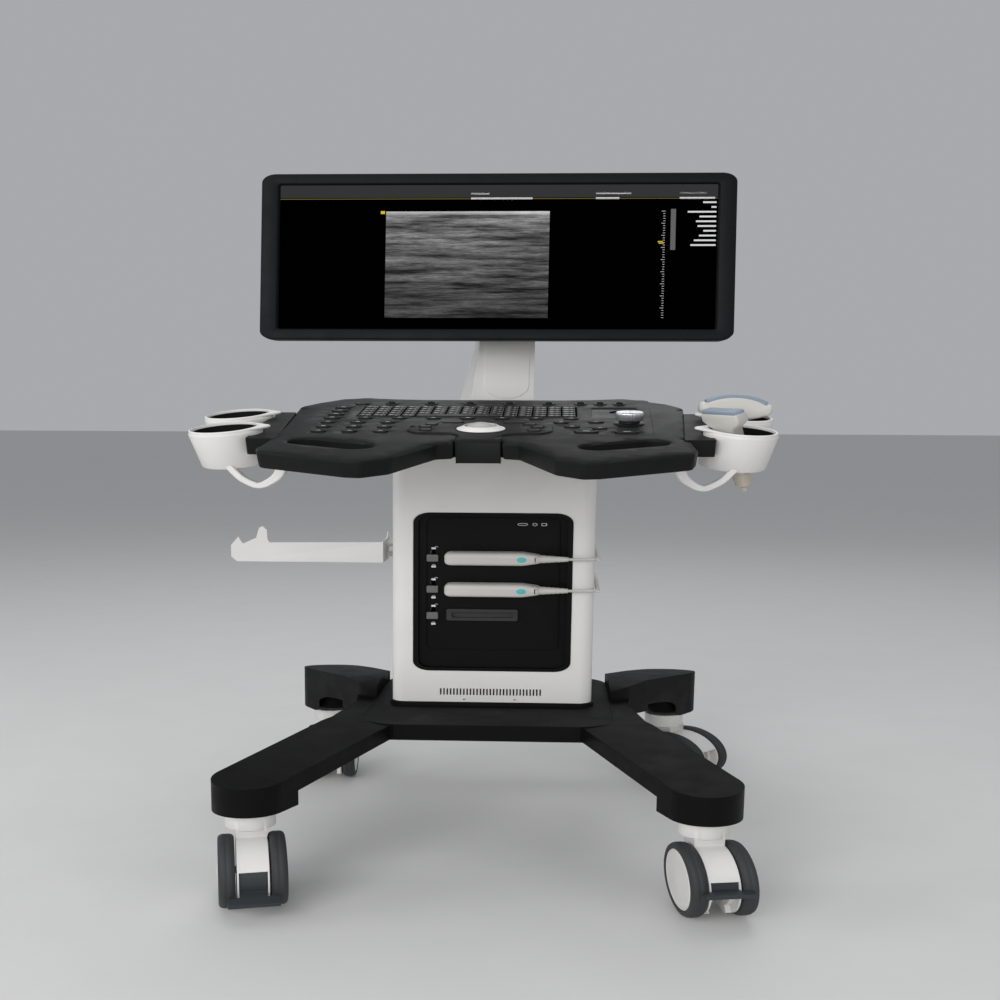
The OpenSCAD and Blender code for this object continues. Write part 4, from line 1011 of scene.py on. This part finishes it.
def cable(name, points, bodies=None, nodes=()):
    """One stretch of cable; one that runs between two bodies rides on neither and has its placing baked into
    the mesh.
    """
    bm = bmesh.new()
    sweep(bm, smooth_path(points, 7), CABLE_R)
    obj = piece(name, bm, CABLE, None if bodies else "root", TO_METRES, nodes, angle=60)
    if bodies:
        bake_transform(obj)


# ---------- connector panel ----------
SOCKET_Z = (609, 539, 479)
LEVER_X = -79


def plugs():
    """Rounded plug shells with a strain relief and a round badge."""
    for letter, z in zip("ab", SOCKET_Z):
        body = "plug_%s_body" % letter
        place = on_column(PANEL_FLOOR_Y - 5.5) @ move(0, z, 0)
        bm = bmesh.new()
        corners = [(-62, -14.5), (40, -14.5), (62, -9), (62, 9), (40, 14.5), (-62, 14.5)]
        shape = fillet(corners, [9, 30, 5, 5, 30, 9], 6)
        stack(bm, shape, [(0, 0.5), (0, 16), (0.5, 20), (1.8, 23.2), (4, 25.2), (7, 26)])
        rings = []
        for k in range(14):
            x = 58 + k * 3.1
            r = 9.2 - 4.4 * k / 13 + (0.5 if k % 2 else -0.3)
            rings.append([(x, r * math.cos(a), 13 + r * math.sin(a)) for a in angles(24)])
        loft(bm, rings)
        piece("plug_%s_shell" % letter, bm, PLUG, body, place, ["plug_" + letter], angle=45)
        bm = bmesh.new()
        stack(bm, shifted(circle(6), 38, 0), crowned(26.8, 0.5, 24))
        piece("plug_%s_badge" % letter, bm, TEAL, body, place)


def lock_icons():
    """Open and closed padlock symbols beside each lever, and three plain symbols at the top."""
    bm = bmesh.new()
    place = on_column(PANEL_FLOOR_Y)
    for z in SOCKET_Z:
        for dz, open_shift in ((19, 3.5), (-22, 0)):
            stack(bm, shifted(rounded_rect(6, 4.4, 0.6, 2), LEVER_X + 1, z + dz), [(0, 0), (0, 0.25)])
            ring = arc(LEVER_X + 1 + open_shift, z + dz + 2.4, 2.4, 0, 180, 8)
            ring += arc(LEVER_X + 1 + open_shift, z + dz + 2.4, 1.6, 180, 0, 8)
            loft(bm, [level(ring, 0), level(ring, 0.25)])
    for x, shape in ((38, pill(13, 5)), (54, circle(3.2, 20)), (66, rounded_rect(7, 6, 0.8, 2))):
        outer = shifted(shape, x, 683)
        inner = inset(outer, 0.8)
        wall(bm, [level(outer, 0), level(outer, 0.25), level(inner, 0.25), level(inner, 0)])
    piece("panel_symbols", bm, INK, "root", place)


def panel_step():
    """Raised line inside the connector panel."""
    bm = bmesh.new()
    outline = shifted(rounded_rect(176, 300, 14), 0, 548)
    wall(bm, levels_of(outline, [(0, 0), (0.6, 0.9), (2.0, 0.9), (2.6, 0)]))
    piece("panel_step", bm, PANEL_BLACK, "root", on_column(PANEL_FLOOR_Y))


# ---------- monitor ----------
MONITOR_W, MONITOR_H = 572, 338
BORDER = 22.5


def monitor():
    """Bezel with rounded corners and an inner chamfer, and the screen glass."""
    bm = bmesh.new()
    outer = rounded_rect(MONITOR_W, MONITOR_H, 18, 10)
    inner = rounded_rect(MONITOR_W - 2 * BORDER, MONITOR_H - 2 * BORDER, 2.2, 10)
    rings = levels_of(outer, [(3, -14), (0, -13.6), (0, -2.6), (0.5, -1.1), (1.4, -0.3), (2.8, 0)])
    rings += levels_of(inner, [(-3.4, 0), (-2.6, -0.4), (0, -4.4), (0, -6)])
    wall(bm, rings)
    piece("monitor_frame", bm, BEZEL, "monitor", MONITOR, ["monitor_bezel"], angle=35)
    bm = bmesh.new()
    stack(bm, rounded_rect(MONITOR_W - 26, MONITOR_H - 26, 2), [(0, -11), (0, -5.2)])
    piece("monitor_glass", bm, GLASS, "monitor", MONITOR, ["lcd_panel"])


def screen_picture():
    """What the display shows: header, scan, depth scale and plain bars in place of text."""
    def quad(bm, x0, x1, y0, y1, z=-5.0):
        verts = [bm.verts.new(p) for p in ((x0, y0, z), (x1, y0, z), (x1, y1, z), (x0, y1, z))]
        bm.faces.new(verts)

    half_w, half_h = MONITOR_W / 2 - BORDER, MONITOR_H / 2 - BORDER
    bm = bmesh.new()
    for i in range(6):
        top = half_h - i * 4.3
        quad(bm, -half_w, half_w, top - 4.3, top)
    piece("screen_header", bm, LIT_DIM, "monitor", MONITOR)
    bm = bmesh.new()
    quad(bm, -half_w, half_w, half_h - 28.6, half_h - 27.4)
    piece("screen_line", bm, LIT_LINE, "monitor", MONITOR)
    bm = bmesh.new()
    quad(bm, -134.5, 63, -124, 93)
    piece("screen_scan", bm, scan_image(), "monitor", MONITOR)
    bm = bmesh.new()
    quad(bm, -141, -136, 88, 94)
    for y, dx in ((32, 0), (29, 1)):
        quad(bm, 193 + dx, 199 + dx, y - 2, y)
    piece("screen_amber", bm, LIT_AMBER, "monitor", MONITOR)
    bm = bmesh.new()
    for i in range(45):
        y = 93 - i * 4.9
        quad(bm, 199 if i % 5 else 197, 201.5, y - 0.7, y)
    for i, w in enumerate((16, 6, 34, 20, 24, 22, 15, 20, 26, 30)):
        y = 112 - i * 9.6
        quad(bm, 262 - w, 262, y - 3.4, y)
    for x0, x1, y in ((-32, -10, 131), (-32, 42, 121), (118, 160, 131), (118, 146, 121), (218, 250, 131),
                      (218, 260, 121)):
        quad(bm, x0, x1, y - 3.6, y)
    piece("screen_marks", bm, LIT_WHITE, "monitor", MONITOR)
    bm = bmesh.new()
    for i in range(12):
        y = 97 - i * 6.9
        quad(bm, 208, 214, y - 6.9, y)
    piece("screen_greys", bm, LIT_GREY, "monitor", MONITOR)


# ---------- everything else ----------
COVERS = (("column_cover", WHITE, 0.9, 3), ("rear_cover", WHITE, 0.9, 3), ("monitor_arm", WHITE, 7.0, 6),
          ("leg_covers", CHARCOAL, 2.2, 4), ("hub_cover", CHARCOAL, 2.2, 4),
          ("connector_panel", PANEL_BLACK, 0.8, 3), ("probe_sockets", SOCKET, 0.8, 2),
          ("side_bracket", BRACKET, 0.5, 2), ("monitor_shell", BEZEL, 2.0, 3),
          ("monitor_yoke", BLACK, 1.2, 3), ("power_inlet", BLACK, 0.6, 2),
          ("lock_lever_a", LEVER, 0.4, 2), ("lock_lever_b", LEVER, 0.4, 2),
          ("lock_lever_c", LEVER, 0.4, 2), ("fan_frame", FAN, 0.4, 2), ("fan_rotor", FAN, 0.4, 2))
INNER_PARTS = (("base_frame", STEEL), ("column_frame", STEEL), ("swivel_post", STEEL),
               ("power_supply", STEEL), ("screws", BRIGHT), ("main_board", BOARD), ("console_board", BOARD))


def covers():
    """Pieces that keep their CAD shape, with rounded edges."""
    for node, material, width, segments in COVERS:
        refined(node, material, width, segments)


def inner_parts():
    """Hidden pieces that keep their CAD shape as it is."""
    for node, material in INNER_PARTS:
        paint(node, material)


WHEEL_R = 62.5
TRAIL = 30
CASTERS = (("front_left", -250, -275, 15, 186), ("front_right", 250, -275, 10, 186),
           ("rear_left", -247, 246, 5, 190), ("rear_right", 247, 246, 50, 190))


def casters():
    """Twin-wheel casters: domed hub discs, rounded tyres with a fine centre groove, and a dark collar."""
    disc = [(6.2, 19.4), (51.3, 19.4), (51.3, 34.4), (50.4, 35.4), (48.4, 35.7), (47.4, 35.0), (46.6, 35.0),
            (45.6, 35.8), (30, 36.7), (14, 37.3), (5, 37.9), (0, 38)]
    tyre = [(51.4, 18.6), (56.5, 18.6), (59.8, 19.8), (61.8, 22.4), (62.5, 26.0), (62.1, 26.6), (62.1, 28.4),
            (62.5, 29.0), (61.8, 32.6), (59.8, 35.2), (56.5, 36.4), (53, 36.5), (51.4, 36.0), (51.4, 18.6)]
    for corner, x, y, heading, leg_z in CASTERS:
        standing = TO_METRES @ move(x, y, FLOOR_Z) @ turn(heading, "Z")
        axle = standing @ move(0, -TRAIL, WHEEL_R)
        hubs, tyres = bmesh.new(), bmesh.new()
        for side in (-1, 1):
            lathe(hubs, disc, 72, turn(90 * side, "Y"))
            lathe(tyres, tyre, 96, turn(90 * side, "Y"))
        wheels = corner + "_wheels"
        piece(corner + "_hub_discs", hubs, WHITE, wheels, axle, [corner + "_hubs"],
              angle=35)
        piece(corner + "_tyre_pair", tyres, TYRE, wheels, axle, [corner + "_tyres"], angle=60)
        collar = bmesh.new()
        low, high = 183.3, leg_z + 2
        lathe(collar, [(12, low), (24.5, low), (25.2, low + 0.7), (25.2, high), (12, high), (12, low)], 48)
        piece(corner + "_collar", collar, TYRE, "root", TO_METRES @ move(x, y, 0))
        refined(corner + "_fork", WHITE, 0.8, 3)
        if corner.startswith("front"):
            refined(corner + "_pedal", PEDAL, 1.4, 3)


# ---------- stage ----------
CAMERA_AT = Vector((0.084, -1.645, 0.888))
CAMERA_YAW, CAMERA_PITCH, CAMERA_ROLL = 0.045, 0.101, 0.008
FOCAL_PIXELS = 1308.8        # horizontal focal length on a 1000 pixel wide picture
SQUEEZE = 0.59               # the photograph's height against its width
LENS_GAP = 0.1               # distance of the squeezing lens in front of the camera


def camera():
    yaw, pitch, roll = CAMERA_YAW, CAMERA_PITCH, CAMERA_ROLL
    forward = Vector((-math.sin(yaw) * math.cos(pitch), math.cos(yaw) * math.cos(pitch), -math.sin(pitch)))
    right = Vector((math.cos(yaw), math.sin(yaw), 0))
    up = right.cross(forward)
    right, up = right * math.cos(roll) + up * math.sin(roll), up * math.cos(roll) - right * math.sin(roll)
    place = Matrix((right, up, -forward)).transposed().to_4x4()
    place.translation = CAMERA_AT
    data = bpy.data.cameras.new("camera")
    data.sensor_width = 36
    data.lens = 50
    data.clip_start = 0.01
    obj = bpy.data.objects.new("camera", data)
    obj.matrix_world = place
    bpy.context.scene.collection.objects.link(obj)
    bpy.context.scene.camera = obj
    squeeze_lens(place, data.sensor_width / 2 / data.lens)


def squeeze_lens(place, half):
    """A pane before the camera that sends each ray on in the photograph's squeezed direction."""
    across, upward = 500 / FOCAL_PIXELS / half, 500 / (SQUEEZE * FOCAL_PIXELS) / half
    reach = half * LENS_GAP * 1.02
    mesh = bpy.data.meshes.new("squeeze_lens")
    corners = [(-reach, -reach, 0), (reach, -reach, 0), (reach, reach, 0), (-reach, reach, 0)]
    mesh.from_pydata(corners, [], [(0, 1, 2, 3)])
    pane = bpy.data.objects.new("squeeze_lens", mesh)
    bpy.context.scene.collection.objects.link(pane)
    pane.matrix_world = place @ Matrix.Translation((0, 0, -LENS_GAP))
    s = Shader("squeeze_lens")

    def vector(operation, source, *constants):
        node = s.add("ShaderNodeVectorMath", operation=operation)
        s.join(source, node.inputs[0])
        for socket, constant in zip(node.inputs[1:], constants):
            socket.default_value = constant
        return node.outputs[0]

    def to_world(source, kind):
        node = s.add("ShaderNodeVectorTransform", vector_type=kind, convert_from="OBJECT", convert_to="WORLD")
        s.join(source, node.inputs[0])
        return node.outputs[0]

    wide = vector("MULTIPLY", s.place, (across, upward, 1))
    exit_point = vector("MULTIPLY_ADD", wide, (1.02, 1.02, 1.02), (0, 0, -0.02 * LENS_GAP))
    direction = vector("NORMALIZE", vector("ADD", wide, (0, 0, -LENS_GAP)))
    portal = s.add("ShaderNodeBsdfRayPortal")
    s.join(to_world(exit_point, "POINT"), portal.inputs["Position"])
    s.join(to_world(direction, "VECTOR"), portal.inputs["Direction"])
    path = s.add("ShaderNodeLightPath")
    near = s.sum("LESS_THAN", path.outputs["Ray Length"], 3 * LENS_GAP)
    mixed = s.add("ShaderNodeMixShader")
    s.join(s.sum("MULTIPLY", near, path.outputs["Is Camera Ray"]), mixed.inputs[0])
    s.join(s.add("ShaderNodeBsdfTransparent").outputs[0], mixed.inputs[1])
    s.join(portal.outputs[0], mixed.inputs[2])
    s.join(mixed.outputs[0], s.output.inputs[0])
    mesh.materials.append(s.material)
    for kind in ("diffuse", "glossy", "transmission", "volume_scatter", "shadow"):
        setattr(pane, "visible_" + kind, False)


def lamp(name, at, aim, size, power, colour=(1, 1, 1)):
    data = bpy.data.lights.new(name, "AREA")
    data.shape = "RECTANGLE"
    data.size, data.size_y = size
    data.energy = power
    data.color = colour
    obj = bpy.data.objects.new(name, data)
    obj.location = at
    obj.rotation_euler = (Vector(aim) - Vector(at)).to_track_quat("-Z", "Y").to_euler()
    bpy.context.scene.collection.objects.link(obj)


def studio():
    """Pale floor, even grey world and soft lamps from above, front and both sides."""
    bm = bmesh.new()
    bmesh.ops.create_grid(bm, x_segments=1, y_segments=1, size=60)
    paint_coat = surface("floor_paint", rgb(0.62, (1, 0.995, 0.98)), 0.7, grain=(200, 0.1), mottle=0.01,
                         wear=0.0)
    piece("floor", bm, paint_coat, None)
    world = bpy.data.worlds.new("studio")
    bpy.context.scene.world = world
    world.use_nodes = True
    background = world.node_tree.nodes["Background"]
    background.inputs[0].default_value = (0.93, 0.95, 1.0, 1)
    background.inputs[1].default_value = 0.42
    lamp("key", (-1.4, -2.8, 2.3), (0, 0, 0.9), (2.0, 1.6), 44)
    lamp("front", (-0.2, -3.2, 1.2), (0, 0, 0.9), (2.0, 1.4), 26)
    lamp("left", (-2.8, -0.9, 1.5), (0, 0, 0.9), (1.4, 1.4), 16)
    lamp("fill", (2.6, -2.0, 1.6), (0, 0, 0.8), (1.6, 1.6), 12)
    lamp("top", (0, 0.1, 3.2), (0, 0, 0.8), (2.4, 1.8), 22)
    lamp("back", (0.4, 2.6, 2.8), (0, 0, 0.9), (2.2, 1.2), 14)
    scene = bpy.context.scene
    scene.view_settings.view_transform = "Standard"
    scene.view_settings.look = "None"
    scene.cycles.use_denoising = True


console_shell()
console_belly()
console_island()
keyboard()
buttons()
trackball()
knob()
window()
seams()
cup_holders()
probes()
cables()
plugs()
lock_icons()
panel_step()
monitor()
screen_picture()
covers()
inner_parts()
casters()
camera()
studio()
